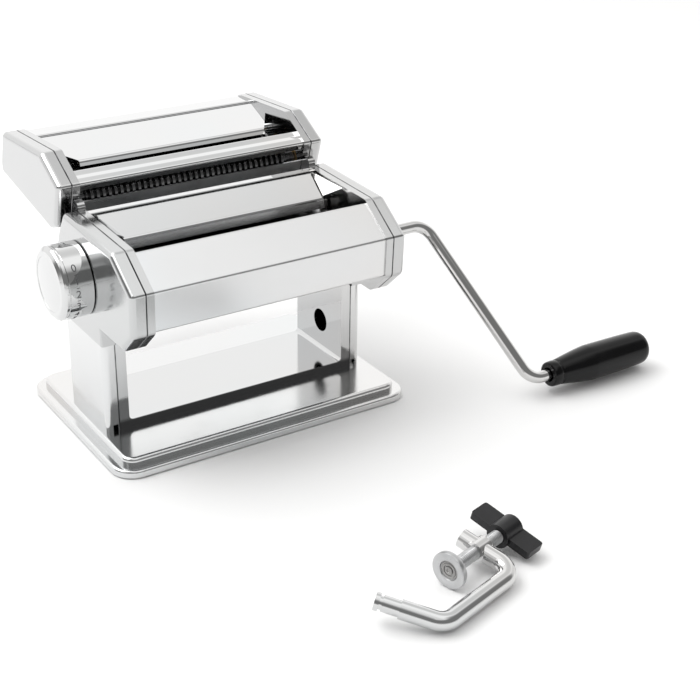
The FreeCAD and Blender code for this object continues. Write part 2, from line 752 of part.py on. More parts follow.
def make_index_pin():
    return along_x(1.5, knob_inner - 5, knob_inner + 0.2, dial_axis_y, axis_z + index_radius)


def make_dial_screw():
    """Keeps the spring on the end of the adjusting rod."""
    head = along_x(7.2, rod_end - 2.0, rod_end, dial_axis_y, axis_z)
    shank = along_x(1.6, rod_end, rod_end + 5, dial_axis_y, axis_z)
    return fuse([head, shank])


def make_dial_spring():
    """A short compression spring round the rod, between the screw head and the shoulder."""
    wire = 0.6
    start = rod_end + wire + 0.05
    travel = spring_shoulder - rod_end - 2 * wire - 0.1
    coil = Part.makeHelix(travel / 3.5, travel, 5.7)
    section = Part.Wire([Part.makeCircle(wire, V(5.7, 0, 0), V(0, 1, 0))])
    spring = Part.Wire(coil.Edges).makePipeShell([section], True, True)
    spring.rotate(V(0, 0, 0), V(0, 1, 0), 90)
    spring.translate(V(start, dial_axis_y, axis_z))
    return spring


def drill_left_cover(cover):
    """The dial's rod hole and its ring of index holes, one for each setting."""
    x0, x1 = -cover_face - 1, -cover_inside + 1
    cover = cover.cut(along_x(adjusting_rod_radius + soft + 0.4, x0, x1, dial_axis_y, axis_z))
    step = settings_turn / (settings - 1)
    for i in range(settings):
        a = math.radians(90 + i * step)
        y = dial_axis_y + index_radius * math.cos(a)
        z = axis_z + index_radius * math.sin(a)
        cover = cover.cut(along_x(index_hole_radius, x0, x1, y, z))
    return cover


# ---------------------------------------------------------------- crank
def crank_direction():
    """The crank at rest leans down and forwards until its grip almost touches the table."""
    drop = roller_axis_height - grip_radius - grip_floor_gap
    down = min(drop / crank_radius, 1.0)
    return V(0, -math.sqrt(1 - down * down), -down)


def crank_point(x, out):
    point = crank_direction() * out
    return (x, drive_axis_y + point.y, axis_z + point.z)


first_corner = cover_face + crank_straight
second_corner = first_corner + crank_arm_lean
grip_start = second_corner + 15.6
grip_end = grip_start + grip_length
rod_tip = grip_end - 9.0
groove_at = rod_tip - 4.0    # snap ring groove in the rod, and the ring in it
ring_radius = 6.0
butt_bore = 6.4


def make_crank_rod():
    """One bent round rod: square driving end, straight, leaning arm, grip axle."""
    start = shaft_end - socket_round + 0.3
    path = rounded_wire([crank_point(start, 0), crank_point(first_corner, 0),
                         crank_point(second_corner, crank_radius), crank_point(rod_tip, crank_radius)],
                        [0, crank_bend, crank_bend, 0], closed=False)
    section = Part.Wire([Part.makeCircle(crank_rod_radius, V(*crank_point(start, 0)), V(1, 0, 0))])
    body = path.makePipeShell([section], True, True)
    half = square_drive / 2
    end = box(shaft_end - socket_depth + 0.5, start + 1, drive_axis_y - half, drive_axis_y + half,
              axis_z - half, axis_z + half)
    end = end.common(along_x(crank_rod_radius, shaft_end - socket_depth - 1, start + 2, drive_axis_y, axis_z))
    groove = rod(crank_rod_radius + 1, crank_point(groove_at, crank_radius), crank_point(groove_at + 1.0, crank_radius))
    groove = groove.cut(rod(crank_rod_radius - 1, crank_point(groove_at - 1, crank_radius),
                            crank_point(groove_at + 2, crank_radius)))
    return fuse([body, end]).cut(groove)


def make_grip():
    """A turned plastic grip: slim neck, long taper, round butt, recessed where the rod goes in."""
    length = grip_length
    big = grip_radius
    neck = grip_neck_radius
    profile = [(2.5, crank_rod_radius + running), (2.5, 5.6), (0, 5.6), (0, neck - 1.2), (0.5, neck - 0.35),
               (1.6, neck), (length * 0.30, big - 1.5), (length * 0.42, big - 0.9), (length * 0.85, big)]
    steps = 9
    butt = big - butt_bore - 0.6
    for i in range(1, steps):
        a = math.radians(90 * i / steps)
        profile.append((length - 8.0 + 8.0 * math.sin(a), big - butt + butt * math.cos(a)))
    pocket = groove_at - 0.6 - grip_start
    profile += [(length, big - butt), (length, butt_bore), (pocket, butt_bore),
                (pocket, crank_rod_radius + running)]
    y, z = crank_point(0, crank_radius)[1:]
    grip = revolved(profile, y, z)
    grip.translate(V(grip_start, 0, 0))
    return grip


def make_grip_clip():
    """A snap ring in the rod's groove that keeps the grip on."""
    y, z = crank_point(0, crank_radius)[1:]
    return revolved([(groove_at + 0.1, crank_rod_radius - 1 + seat), (groove_at + 0.1, ring_radius),
                     (groove_at + 0.9, ring_radius), (groove_at + 0.9, crank_rod_radius - 1 + seat)], y, z)


def make_grip_plug():
    """Closes the grip's bore at the butt."""
    y, z = crank_point(0, crank_radius)[1:]
    plug = butt_bore - seat
    return revolved([(grip_end - 6.0, 0), (grip_end - 6.0, plug), (grip_end, plug),
                     (grip_end + 0.5, plug - 2.4), (grip_end + 0.7, 0)], y, z)


# ---------------------------------------------------------------- cutter head
def to_head(shape):
    """From the cutter head's own frame to where it hangs on the machine."""
    return tilted(shape, cutter_tilt, cutter_origin_y, cutter_origin_z)


def cutter_axes():
    """The four cutter shafts: name, u of the axis, width of the strands, phase of the discs."""
    return [("narrow_front_cutter", front_pair_u, narrow_cut, 0),
            ("narrow_rear_cutter", front_pair_u + cutter_spacing, narrow_cut, 1),
            ("wide_front_cutter", rear_pair_u, wide_cut, 0),
            ("wide_rear_cutter", rear_pair_u + cutter_spacing, wide_cut, 1)]


cutter_bush_outer = 7.6
head_rod_radius = 2.5
head_rod_places = [(33.25, 26.0), (33.25, 5.6), (75.0, 5.8)]


def make_cutter_end_plate():
    """The cutter head's right-hand end plate, with bearing seats and the rail slot."""
    plate = prism(cutter_outline, inner_half_width, outer_half_width, cutter_rounding)
    for name, u, width, phase in cutter_axes():
        plate = plate.cut(along_x(cutter_bush_outer, inner_half_width - 1, outer_half_width + 1, u, cutter_axis_w))
    for u, w in head_rod_places:
        plate = plate.cut(along_x(head_rod_radius - 0.8 + seat, inner_half_width - 1, outer_half_width + 1, u, w))
    neck = rail_neck / 2 + soft
    head = rail_head / 2 + soft
    slot_top = rail_length - 4 + soft
    slot = fuse([box(rail_middle - neck, rail_middle + neck, -2, rail_neck_depth + soft, -9, slot_top),
                 box(rail_middle - head, rail_middle + head, rail_neck_depth - rail_head_depth - soft,
                     rail_neck_depth + soft, -9, slot_top)])
    slot = tilted(slot, front_angle - cutter_tilt, *cutter_outline[6])
    plate = plate.makeChamfer(seam, edges_at(prism_rim(plate), outer_half_width))
    return to_head(plate.cut(slot))


def make_cutter_cover():
    return to_head(make_cover(cutter_outline, cutter_rounding, 0.0))


def drill_cutter_cover(cover):
    """Round holes for the crank in front of the two driven shafts."""
    for u in (front_pair_u + cutter_spacing, rear_pair_u + cutter_spacing):
        cover = cover.cut(to_head(along_x(6.2, cover_inside - 1, cover_face + 1, u, cutter_axis_w)))
    return cover


slot_near = (0.8, 37.6)
slot_far = (18.0, 33.6)
ramp_bend = (36.0, 33.2)
rear_slot_edge = (57.0, 33.0)


def make_cutter_front_strip():
    """The folded strip in front of the feed slot: two soft waves, then the front fold."""
    outline = inset(cutter_outline, panel_inset)
    fold = outline[5]
    path = [(fold[0] + 1.2, fold[1] - 5.0), fold, (-8.2, 36.2), (-4.0, 36.2), slot_near, (2.2, 33.4)]
    return to_head(strip(path, sheet, -inner_half_width, inner_half_width, [0, 1.8, 3.0, 4.0, 1.6, 0]))


def make_cutter_ramp():
    """The shallow feed ramp behind the front slot; it stops short of the end plates."""
    path = [(16.6, 30.2), slot_far, ramp_bend, rear_slot_edge, (57.6, 30.2)]
    ramp = strip(path, sheet, -inner_half_width, inner_half_width, [0, 2.4, 8.0, 1.4, 0])
    for side in (-1, 1):
        corner = [(side * (inner_half_width + 1), 10, 20), (side * (inner_half_width - 13), 10, 20),
                  (side * (inner_half_width - 13), slot_far[0], 20), (side * (inner_half_width + 1), 41, 20)]
        face = Part.Face(Part.makePolygon([V(*p) for p in corner + corner[:1]]))
        ramp = ramp.cut(face.extrude(V(0, 0, 20)))
    return to_head(ramp)


def make_cutter_rear_plate():
    """The rear sheet: top band behind the rear slot, the back and its lower fold."""
    outline = inset(cutter_outline, panel_inset)
    low, back, top = outline[1], outline[2], outline[3]
    start_u = rear_slot_edge[0] + 3.6
    slope = (cutter_outline[4][1] - cutter_outline[3][1]) / (cutter_outline[4][0] - cutter_outline[3][0])
    start = (start_u, top[1] + (start_u - top[0]) * slope - 0.6)
    path = [(start[0] - 0.6, start[1] - 3.4), start, top, back, low, (low[0] - 5.0, low[1])]
    return to_head(strip(path, sheet, -inner_half_width, inner_half_width, [0, 1.4, 2.0, 2.0, 2.0, 0]))


def cutter_profile(width, phase):
    """Discs as wide as a strand; the other cutter's discs run in the grooves between them."""
    pitch = 2 * width
    count = int(2 * cutter_half_length / pitch)
    half = count * pitch / 2
    inner = cutter_radius - groove_depth
    points = [(-cutter_half_length - 2, inner)]
    for i in range(count):
        start = -half + i * pitch + phase * width
        x0, x1 = start + cut_clearance, start + width - cut_clearance
        points += [(x0, inner), (x0, cutter_radius), (x1, cutter_radius), (x1, inner)]
    points.append((cutter_half_length + 2, inner))
    return points


def make_cutter(u, width, phase, driven):
    """One grooved cutting roller with its journals and, when driven, a crank socket."""
    left = [(-shaft_left(), 0), (-shaft_left(), cutter_journal), (-cutter_half_length - 2, cutter_journal)]
    end = shaft_end if driven else outer_half_width + 6.6
    right = [(cutter_half_length + 2, cutter_journal), (end, cutter_journal), (end, 0)]
    turned = revolved(left + cutter_profile(width, phase) + right, u, cutter_axis_w)
    if driven:
        turned = turned.cut(socket_cut(shaft_end, u, cutter_axis_w))
    return to_head(turned)


def shaft_left():
    return outer_half_width + 2.0


cutter_gear_teeth = 12
cutter_gear_x0 = outer_half_width + 1.6
cutter_gear_x1 = outer_half_width + 6.2


def make_cutter_gear(u, phase):
    """Small spur gears under the right cover, one pair for each pair of cutters."""
    module = cutter_spacing / cutter_gear_teeth
    tip = cutter_spacing / 2 + 0.8 * module
    root = cutter_spacing / 2 - 1.15 * module
    wheel = gear(cutter_gear_teeth, tip, root, cutter_journal + seat, cutter_gear_x0, cutter_gear_x1,
                 0.29 * 2 * math.pi * root * 1.9 / cutter_gear_teeth, 0.9, phase, u, cutter_axis_w)
    return to_head(wheel)


def make_cutter_bushes():
    bushes = []
    for name, u, width, phase in cutter_axes():
        bush = revolved([(inner_half_width, cutter_journal + running), (inner_half_width, cutter_bush_outer - seat),
                         (outer_half_width + 0.8, cutter_bush_outer - seat),
                         (outer_half_width + 0.8, cutter_journal + running)], u, cutter_axis_w)
        bushes += [to_head(b) for b in both_ends(bush)]
    return bushes


def make_combs(u_front, width):
    """Two combs for one pair of cutters; their teeth stand in the grooves and strip the strands."""
    pitch = 2 * width
    count = int(2 * cutter_half_length / pitch)
    half = count * pitch / 2
    inner = cutter_radius - groove_depth
    combs = []
    for side, u, phase in ((-1, u_front, 0), (1, u_front + cutter_spacing, 1)):
        tip = u + side * (inner + comb_gap)
        root = u + side * (cutter_radius + 0.7)
        back = root + side * 1.0
        bar = box(-inner_half_width, inner_half_width, root, back, cutter_axis_w - 5.5, cutter_axis_w + 3.0)
        teeth = []
        for i in range(count):
            start = -half + i * pitch + (1 - phase) * width
            teeth.append(box(start + 2 * cut_clearance, start + width - 2 * cut_clearance, tip, root,
                             cutter_axis_w - 1.2, cutter_axis_w + 1.2))
        combs.append(to_head(fuse([bar] + teeth)))
    return combs


def make_head_rods():
    rods = []
    for u, w in head_rod_places:
        middle = along_x(head_rod_radius, -inner_half_width, inner_half_width, u, w)
        ends = along_x(head_rod_radius - 0.8, -outer_half_width - 1.2, outer_half_width + 1.2, u, w)
        rods.append(to_head(fuse([middle, ends])))
    return rods


# ---------------------------------------------------------------- table clamp
def clamp_frame():
    """The clamp lies on its spine and its pad, so its plane leans up from the table."""
    heading = math.radians(clamp_heading)
    spine = V(math.cos(heading), math.sin(heading), 0)
    rise = (pad_radius - clamp_rod_radius + 0.1) / clamp_screw_offset
    level = V(spine.y, -spine.x, 0)
    side = level * math.sqrt(1 - rise * rise) + V(0, 0, rise)
    corner = V(clamp_corner[0], clamp_corner[1], clamp_rod_radius + 0.2)
    return corner, spine, side


def clamp_point(along, out):
    """A point in the clamp's plane: along the spine from the screw end, and out towards the screw."""
    corner, spine, side = clamp_frame()
    return tuple(corner + spine * along + side * out)


def make_clamp_bow():
    """A bent round bar: upper arm with the nut boss, spine, lower arm with its stepped end."""
    upper = math.radians(clamp_upper_turn)
    lower = math.radians(180 - clamp_lower_turn)
    start = clamp_point(clamp_upper_arm * -math.cos(upper), clamp_upper_arm * math.sin(upper))
    far = clamp_point(clamp_spine + clamp_lower_arm * math.cos(lower), clamp_lower_arm * math.sin(lower))
    path = rounded_wire([start, clamp_point(0, 0), clamp_point(clamp_spine, 0), far],
                        [0, clamp_bend, clamp_bend, 0], closed=False)
    heading = V(*clamp_point(0, 0)) - V(*start)
    section = Part.Wire([Part.makeCircle(clamp_rod_radius, V(*start), heading)])
    bar = path.makePipeShell([section], True, True)
    reach = (V(*far) - V(*clamp_point(clamp_spine, 0))).normalize()
    tip = rod(clamp_tip_radius, tuple(V(*far) - reach * 1.0), tuple(V(*far) + reach * (clamp_tip - 4.0)))
    groove = rod(clamp_tip_radius - 0.8, tuple(V(*far) + reach * (clamp_tip - 4.5)),
                 tuple(V(*far) + reach * (clamp_tip - 1.0)))
    knob = rod(clamp_tip_radius + 0.5, tuple(V(*far) + reach * (clamp_tip - 2.5)),
               tuple(V(*far) + reach * clamp_tip))
    boss = rod(clamp_rod_radius + 0.7, clamp_point(screw_place() - 4.8, clamp_screw_offset),
               clamp_point(screw_place() + 4.8, clamp_screw_offset))
    hole = rod(screw_radius + running, clamp_point(screw_place() - 20, clamp_screw_offset),
               clamp_point(screw_place() + 20, clamp_screw_offset))
    return fuse([bar, boss, tip, groove, knob]).cut(hole)


def screw_place():
    """Where the screw's axis crosses the upper arm, measured along the spine."""
    return -clamp_screw_offset / math.tan(math.radians(clamp_upper_turn))


pad_reach = 26.0             # from the arm to the pad, as it lies


def make_clamp_screw():
    start = clamp_point(screw_place() + pad_reach - 2.0, clamp_screw_offset)
    end = clamp_point(screw_place() + pad_reach - 2.0 - screw_length, clamp_screw_offset)
    return rod(screw_radius, start, end)


def make_clamp_wing():
    """The wing knob: a round hub on the screw's end and one flat blade across it."""
    hub_start = screw_place() + pad_reach - 2.0 - screw_length
    hub = rod(7.2, clamp_point(hub_start - 3.0, clamp_screw_offset), clamp_point(hub_start + 11.5, clamp_screw_offset))
    corner, spine, side = clamp_frame()
    normal = spine.cross(side)
    middle = V(*clamp_point(hub_start + 3.2, clamp_screw_offset))
    blade = Part.makeBox(14.0, 2 * wing_half_span, 4.6, V(-7.0, -wing_half_span, -2.3))
    uprights = [e for e in blade.Edges if e.BoundBox.ZLength > 1]
    blade = blade.makeFillet(1.6, uprights)
    turn = FreeCAD.Matrix(spine.x, side.x, normal.x, middle.x, spine.y, side.y, normal.y, middle.y,
                          spine.z, side.z, normal.z, middle.z, 0, 0, 0, 1)
    blade = blade.transformShape(turn, True)
    hole = rod(screw_radius + seat, clamp_point(hub_start, clamp_screw_offset),
               clamp_point(hub_start + 20, clamp_screw_offset))
    return fuse([hub, blade]).cut(hole)


def make_clamp_pad():
    """The swivel pad: a dished disc with a collar round the screw's end."""
    face = screw_place() + pad_reach
    collar = rod(5.6, clamp_point(face - 6.0, clamp_screw_offset), clamp_point(face - 1.0, clamp_screw_offset))
    disc = rod(pad_radius, clamp_point(face - 1.4, clamp_screw_offset),
               clamp_point(face - 1.4 + pad_thickness, clamp_screw_offset))
    dish = rod(5.2, clamp_point(face + 0.6, clamp_screw_offset),
               clamp_point(face + pad_thickness, clamp_screw_offset))
    hole = rod(screw_radius + running, clamp_point(face - 8.0, clamp_screw_offset),
               clamp_point(face - 2.0 + 0.1, clamp_screw_offset))
    return fuse([collar, disc]).cut(dish).cut(hole)


# ---------------------------------------------------------------- build everything
os.makedirs("parts", exist_ok=True)

export("base_plate", drill_base(make_base()))
export("rubber_feet", make_feet())
export("base_bolts", make_base_bolts())
export("inner_frame", make_frame())
export("left_leg_shell", mirrored(make_leg_shell()))
export("right_leg_shell", make_leg_shell())

right_plate = make_end_plate()
export("left_end_plate", mirrored(right_plate))
export("right_end_plate", right_plate)
head_cover = make_head_cover()
export("left_side_cover", drill_left_cover(mirrored(head_cover)))
export("right_side_cover", head_cover.cut(along_x(crank_rod_radius + 0.7, cover_inside - 1, cover_face + 1,
                                                  drive_axis_y, axis_z)))
export("cutter_rails", both_ends(make_rail()))
export("front_panel", make_front_panel())
export("back_panel", make_back_panel())
export("hopper_plate", make_hopper())
export("hopper_wings", make_hopper_wings())
export("tie_rods", make_tie_rods())
export("tie_rod_nuts", make_tie_nuts())
export("front_scraper", make_scraper(drive_axis_y, -125))
export("rear_scraper", make_scraper(adjust_axis_y, -50))

export("drive_bushes", make_drive_bushes())
export("drive_roller", make_drive_roller())
export("drive_shaft", make_drive_shaft())
half_pitch = 180 / roller_gear_teeth
export("drive_gear", make_roller_gear(drive_journal + seat, 0, drive_axis_y))
export("adjustable_gear", make_roller_gear(journal_radius + seat, half_pitch, adjust_axis_y))
export("adjustable_roller", make_adjustable_roller())
export("floating_bushes", make_floating_bushes())
export("eccentric_bushes", make_eccentric_bushes())
export("adjusting_rod", make_adjusting_rod())
export("dial_knob", make_dial_knob())
export("dial_cap", make_dial_cap())
export("dial_index_pin", make_index_pin())
export("dial_screw", make_dial_screw())
export("dial_spring", make_dial_spring())

export("crank_rod", make_crank_rod())
export("crank_grip", make_grip())
export("grip_clip", make_grip_clip())
export("grip_plug", make_grip_plug())

cutter_plate = make_cutter_end_plate()
cutter_cover = make_cutter_cover()
export("cutter_left_plate", mirrored(cutter_plate))
export("cutter_right_plate", cutter_plate)
export("cutter_left_cover", mirrored(cutter_cover))
export("cutter_right_cover", drill_cutter_cover(cutter_cover))
export("cutter_front_strip", make_cutter_front_strip())
export("cutter_ramp", make_cutter_ramp())
export("cutter_rear_plate", make_cutter_rear_plate())
export("cutter_tie_rods", make_head_rods())
export("cutter_bushes", make_cutter_bushes())
export("narrow_combs", make_combs(front_pair_u, narrow_cut))
export("wide_combs", make_combs(rear_pair_u, wide_cut))
for name, u, width, phase in cutter_axes():
    export(name, make_cutter(u, width, phase, driven=phase == 1))
    tooth_phase = phase * 180 / cutter_gear_teeth
    export(name.replace("cutter", "gear"), make_cutter_gear(u, tooth_phase))

export("clamp_bow", make_clamp_bow())
export("clamp_screw", make_clamp_screw())
export("clamp_wing", make_clamp_wing())
export("clamp_pad", make_clamp_pad())
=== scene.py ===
import math
import bmesh
import bpy
from mathutils import Matrix, Vector


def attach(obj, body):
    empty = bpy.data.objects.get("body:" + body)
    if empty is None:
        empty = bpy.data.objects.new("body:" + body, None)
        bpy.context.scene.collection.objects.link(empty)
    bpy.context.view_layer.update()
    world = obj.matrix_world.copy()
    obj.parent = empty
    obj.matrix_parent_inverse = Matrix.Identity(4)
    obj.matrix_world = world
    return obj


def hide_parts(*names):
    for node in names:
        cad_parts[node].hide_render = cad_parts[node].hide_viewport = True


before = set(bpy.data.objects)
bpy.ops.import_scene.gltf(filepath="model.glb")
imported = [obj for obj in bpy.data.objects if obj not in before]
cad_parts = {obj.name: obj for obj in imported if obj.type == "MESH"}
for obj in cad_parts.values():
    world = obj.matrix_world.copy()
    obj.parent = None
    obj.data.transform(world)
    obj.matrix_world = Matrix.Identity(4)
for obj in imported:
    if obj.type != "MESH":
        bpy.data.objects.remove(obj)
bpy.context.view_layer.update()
scene = bpy.context.scene
print("frame loaded:", len(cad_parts), "pieces")

# the eye stands to the left of the machine, in front of it and above it; metres, degrees, mm of lens
cameraView = {"place": (-0.38627, -0.74508, 0.44470), "azimuth": -33.36, "elevation": 26.236,
              "roll": 0.89, "lens": 72.42, "sensor": 36, "near": 0.01, "far": 50}


def makeCamera():
    data = bpy.data.cameras.new("studioCamera")
    data.lens = cameraView["lens"]
    data.sensor_width = cameraView["sensor"]
    data.clip_start, data.clip_end = cameraView["near"], cameraView["far"]
    camera = bpy.data.objects.new("studioCamera", data)
    scene.collection.objects.link(camera)
    a, e = math.radians(cameraView["azimuth"]), math.radians(cameraView["elevation"])
    back = Vector((math.sin(a) * math.cos(e), -math.cos(a) * math.cos(e), math.sin(e)))
    level = (-back).to_track_quat("-Z", "Y").to_matrix()
    turn = level @ Matrix.Rotation(math.radians(cameraView["roll"]), 3, "Z")
    camera.matrix_world = Matrix.Translation(cameraView["place"]) @ turn.to_4x4()
    scene.camera = camera


makeCamera()

studio = {"room": 0.95, "roomTint": (1.0, 0.997, 0.99), "floorTone": 0.98, "floorHalf": 4.0}
softboxShape = {"place": (-0.62, 0.58, 1.4), "aim": (0.02, -0.05, 0.05), "size": (1.4, 1.0), "power": 13.0}

# soft bright and dark cards in a pale room: azimuth from the back towards the right, elevation,
# inner and outer half angle in degrees, brightness
softCards = [(33, 30, 24, 50, 1.27), (100, 62, 16, 42, 1.3), (52, 56, 6, 22, 1.0), (-95, 62, 12, 34, 1.35),
             (-80, 24, 9, 26, 0.22), (-30, 20, 14, 34, 1.2), (128, 30, 12, 34, 0.3), (70, 50, 4, 24, 0.85),
             (-128, 48, 5, 20, 0.3)]
# a dim strip across the front of the room, with the pale floor below it; degrees above the horizon
frontStrip = {"floor": (3.0, 11.0), "top": (38.0, 48.0), "side": (-0.42, 0.0), "level": 0.24,
              "floorLevel": 0.9}


def makeWorld():
    world = bpy.data.worlds.new("studioRoom")
    scene.world = world
    world.use_nodes = True
    tree = world.node_tree
    tree.nodes.clear()
    link = tree.links.new
    place = tree.nodes.new("ShaderNodeTexCoord").outputs["Generated"]
    level = tree.nodes.new("ShaderNodeValue").outputs[0]
    level.default_value = studio["room"]

    def blend(value, low, high, below, beyond):
        step = tree.nodes.new("ShaderNodeMapRange")
        step.interpolation_type = "SMOOTHSTEP"
        link(value, step.inputs["Value"])
        step.inputs["From Min"].default_value = low
        step.inputs["From Max"].default_value = high
        mix = tree.nodes.new("ShaderNodeMix")
        link(step.outputs["Result"], mix.inputs["Factor"])
        for name, part in (("A", below), ("B", beyond)):
            if isinstance(part, bpy.types.NodeSocket):
                link(part, mix.inputs[name])
            else:
                mix.inputs[name].default_value = part
        return mix.outputs["Result"]

    for azimuth, elevation, inner, outer, bright in softCards:
        a, e = math.radians(azimuth), math.radians(elevation)
        facing = tree.nodes.new("ShaderNodeVectorMath")
        facing.operation = "DOT_PRODUCT"
        link(place, facing.inputs[0])
        facing.inputs[1].default_value = (math.sin(a) * math.cos(e), math.cos(a) * math.cos(e), math.sin(e))
        level = blend(facing.outputs["Value"], math.cos(math.radians(outer)), math.cos(math.radians(inner)),
                      level, bright)
    split = tree.nodes.new("ShaderNodeSeparateXYZ")
    link(place, split.inputs[0])
    edges = {key: [math.sin(math.radians(angle)) for angle in frontStrip[key]] for key in ("floor", "top")}
    strip = blend(split.outputs["Z"], *edges["top"], frontStrip["level"], level)
    strip = blend(split.outputs["Z"], *edges["floor"], frontStrip["floorLevel"], strip)
    level = blend(split.outputs["Y"], *frontStrip["side"], strip, level)
    light = tree.nodes.new("ShaderNodeBackground")
    light.inputs["Color"].default_value = (*studio["roomTint"], 1)
    link(level, light.inputs["Strength"])
    out = tree.nodes.new("ShaderNodeOutputWorld")
    link(light.outputs[0], out.inputs["Surface"])


def makeFloor():
    half = studio["floorHalf"]
    mesh = bpy.data.meshes.new("studioFloor")
    corners = [(-half, -half, 0), (half, -half, 0), (half, half, 0), (-half, half, 0)]
    mesh.from_pydata(corners, [], [(0, 1, 2, 3)])
    floor = bpy.data.objects.new("studioFloor", mesh)
    scene.collection.objects.link(floor)
    paper = bpy.data.materials.new("paleFloor")
    paper.use_nodes = True
    shader = paper.node_tree.nodes["Principled BSDF"]
    tone = studio["floorTone"]
    shader.inputs["Base Color"].default_value = (tone, tone, tone, 1)
    shader.inputs["Roughness"].default_value = 0.9
    shader.inputs["Specular IOR Level"].default_value = 0.0
    mesh.materials.append(paper)


def makeSoftbox():
    lamp = bpy.data.lights.new("softbox", "AREA")
    lamp.shape = "RECTANGLE"
    lamp.size, lamp.size_y = softboxShape["size"]
    lamp.energy = softboxShape["power"]
    softbox = bpy.data.objects.new("softbox", lamp)
    scene.collection.objects.link(softbox)
    softbox.location = softboxShape["place"]
    softbox.rotation_mode = "QUATERNION"
    aim = Vector(softboxShape["aim"]) - softbox.location
    softbox.rotation_quaternion = aim.to_track_quat("-Z", "Y")


makeWorld()
makeFloor()
makeSoftbox()
scene.view_settings.view_transform = "Standard"
print("studio set up")


# small helpers for node trees
def newGroup(name, inputs, outputs):
    group = bpy.data.node_groups.new(name, "ShaderNodeTree")
    for label, kind, value in inputs:
        socket = group.interface.new_socket(label, in_out="INPUT", socket_type=kind)
        if value is not None:
            socket.default_value = value
    for label, kind in outputs:
        group.interface.new_socket(label, in_out="OUTPUT", socket_type=kind)
    return group, group.nodes.new("NodeGroupInput").outputs, group.nodes.new("NodeGroupOutput").inputs


def feed(tree, socket, value):
    if isinstance(value, bpy.types.NodeSocket):
        tree.links.new(value, socket)
    else:
        socket.default_value = value


def mathOf(tree, operation, first, second=0.0):
    node = tree.nodes.new("ShaderNodeMath")
    node.operation = operation
    feed(tree, node.inputs[0], first)
    feed(tree, node.inputs[1], second)
    return node.outputs[0]


def noiseOf(tree, vector, scale, detail=3.0, rough=0.5):
    node = tree.nodes.new("ShaderNodeTexNoise")
    feed(tree, node.inputs["Vector"], vector)
    feed(tree, node.inputs["Scale"], scale)
    node.inputs["Detail"].default_value = detail
    node.inputs["Roughness"].default_value = rough
    return node.outputs["Fac"]


def rangeOf(tree, value, low, high, toLow, toHigh):
    node = tree.nodes.new("ShaderNodeMapRange")
    feed(tree, node.inputs["Value"], value)
    feed(tree, node.inputs["From Min"], low)
    feed(tree, node.inputs["From Max"], high)
    feed(tree, node.inputs["To Min"], toLow)
    feed(tree, node.inputs["To Max"], toHigh)
    return node.outputs["Result"]


def timesOf(tree, vector, factors):
    node = tree.nodes.new("ShaderNodeVectorMath")
    node.operation = "MULTIPLY"
    feed(tree, node.inputs[0], vector)
    feed(tree, node.inputs[1], factors)
    return node.outputs[0]


def mixOf(tree, factor, first, second):
    node = tree.nodes.new("ShaderNodeMix")
    node.data_type = "RGBA"
    feed(tree, node.inputs["Factor"], factor)
    feed(tree, node.inputs["A"], first)
    feed(tree, node.inputs["B"], second)
    return node.outputs["Result"]


# wipe marks and hairlines of a plated or polished surface
def handlingMarksGroup():
    group, ins, outs = newGroup("handlingMarks", [
        ("Vector", "NodeSocketVector", None), ("Scale", "NodeSocketFloat", 30.0),
        ("Base", "NodeSocketFloat", 0.05), ("Smudges", "NodeSocketFloat", 0.06),
        ("Hairlines", "NodeSocketFloat", 0.04)], [("Roughness", "NodeSocketFloat")])
    cloud = noiseOf(group, ins["Vector"], ins["Scale"], 4.0, 0.6)
    smudge = rangeOf(group, cloud, 0.46, 0.74, 0.0, 1.0)
    hair = noiseOf(group, timesOf(group, ins["Vector"], (25.0, 1100.0, 1100.0)), 1.0, 2.0, 0.65)
    hairline = rangeOf(group, hair, 0.58, 0.76, 0.0, 1.0)
    rough = mathOf(group, "MULTIPLY", smudge, ins["Smudges"])
    rough = mathOf(group, "ADD", rough, mathOf(group, "MULTIPLY", hairline, ins["Hairlines"]))
    group.links.new(mathOf(group, "ADD", rough, ins["Base"]), outs["Roughness"])
    return group


# slight waves of thin sheet, or the skin of a casting
def surfaceFormGroup():
    group, ins, outs = newGroup("surfaceForm", [
        ("Vector", "NodeSocketVector", None), ("Wave Scale", "NodeSocketFloat", 14.0),
        ("Peel Scale", "NodeSocketFloat", 700.0), ("Peel", "NodeSocketFloat", 0.0)],
        [("Height", "NodeSocketFloat")])
    wave = noiseOf(group, ins["Vector"], ins["Wave Scale"], 1.0, 0.4)
    peel = mathOf(group, "MULTIPLY", noiseOf(group, ins["Vector"], ins["Peel Scale"], 2.0, 0.5), ins["Peel"])
    group.links.new(mathOf(group, "ADD", wave, peel), outs["Height"])
    return group


# fine rings left by a lathe or a grinding wheel; Across says how quickly they change along each axis
def turnedRingsGroup():
    group, ins, outs = newGroup("turnedRings", [
        ("Vector", "NodeSocketVector", None), ("Across", "NodeSocketVector", (2500.0, 30.0, 30.0)),
        ("Base", "NodeSocketFloat", 0.15), ("Spread", "NodeSocketFloat", 0.12)],
        [("Height", "NodeSocketFloat"), ("Roughness", "NodeSocketFloat"), ("Tone", "NodeSocketFloat")])
    rings = noiseOf(group, timesOf(group, ins["Vector"], ins["Across"]), 1.0, 3.0, 0.6)
    patches = noiseOf(group, ins["Vector"], 60.0, 3.0, 0.5)
    rough = mathOf(group, "ADD", ins["Base"], mathOf(group, "MULTIPLY", rings, ins["Spread"]))
    group.links.new(rings, outs["Height"])
    group.links.new(rough, outs["Roughness"])
    group.links.new(rangeOf(group, patches, 0.35, 0.7, 0.0, 1.0), outs["Tone"])
    return group


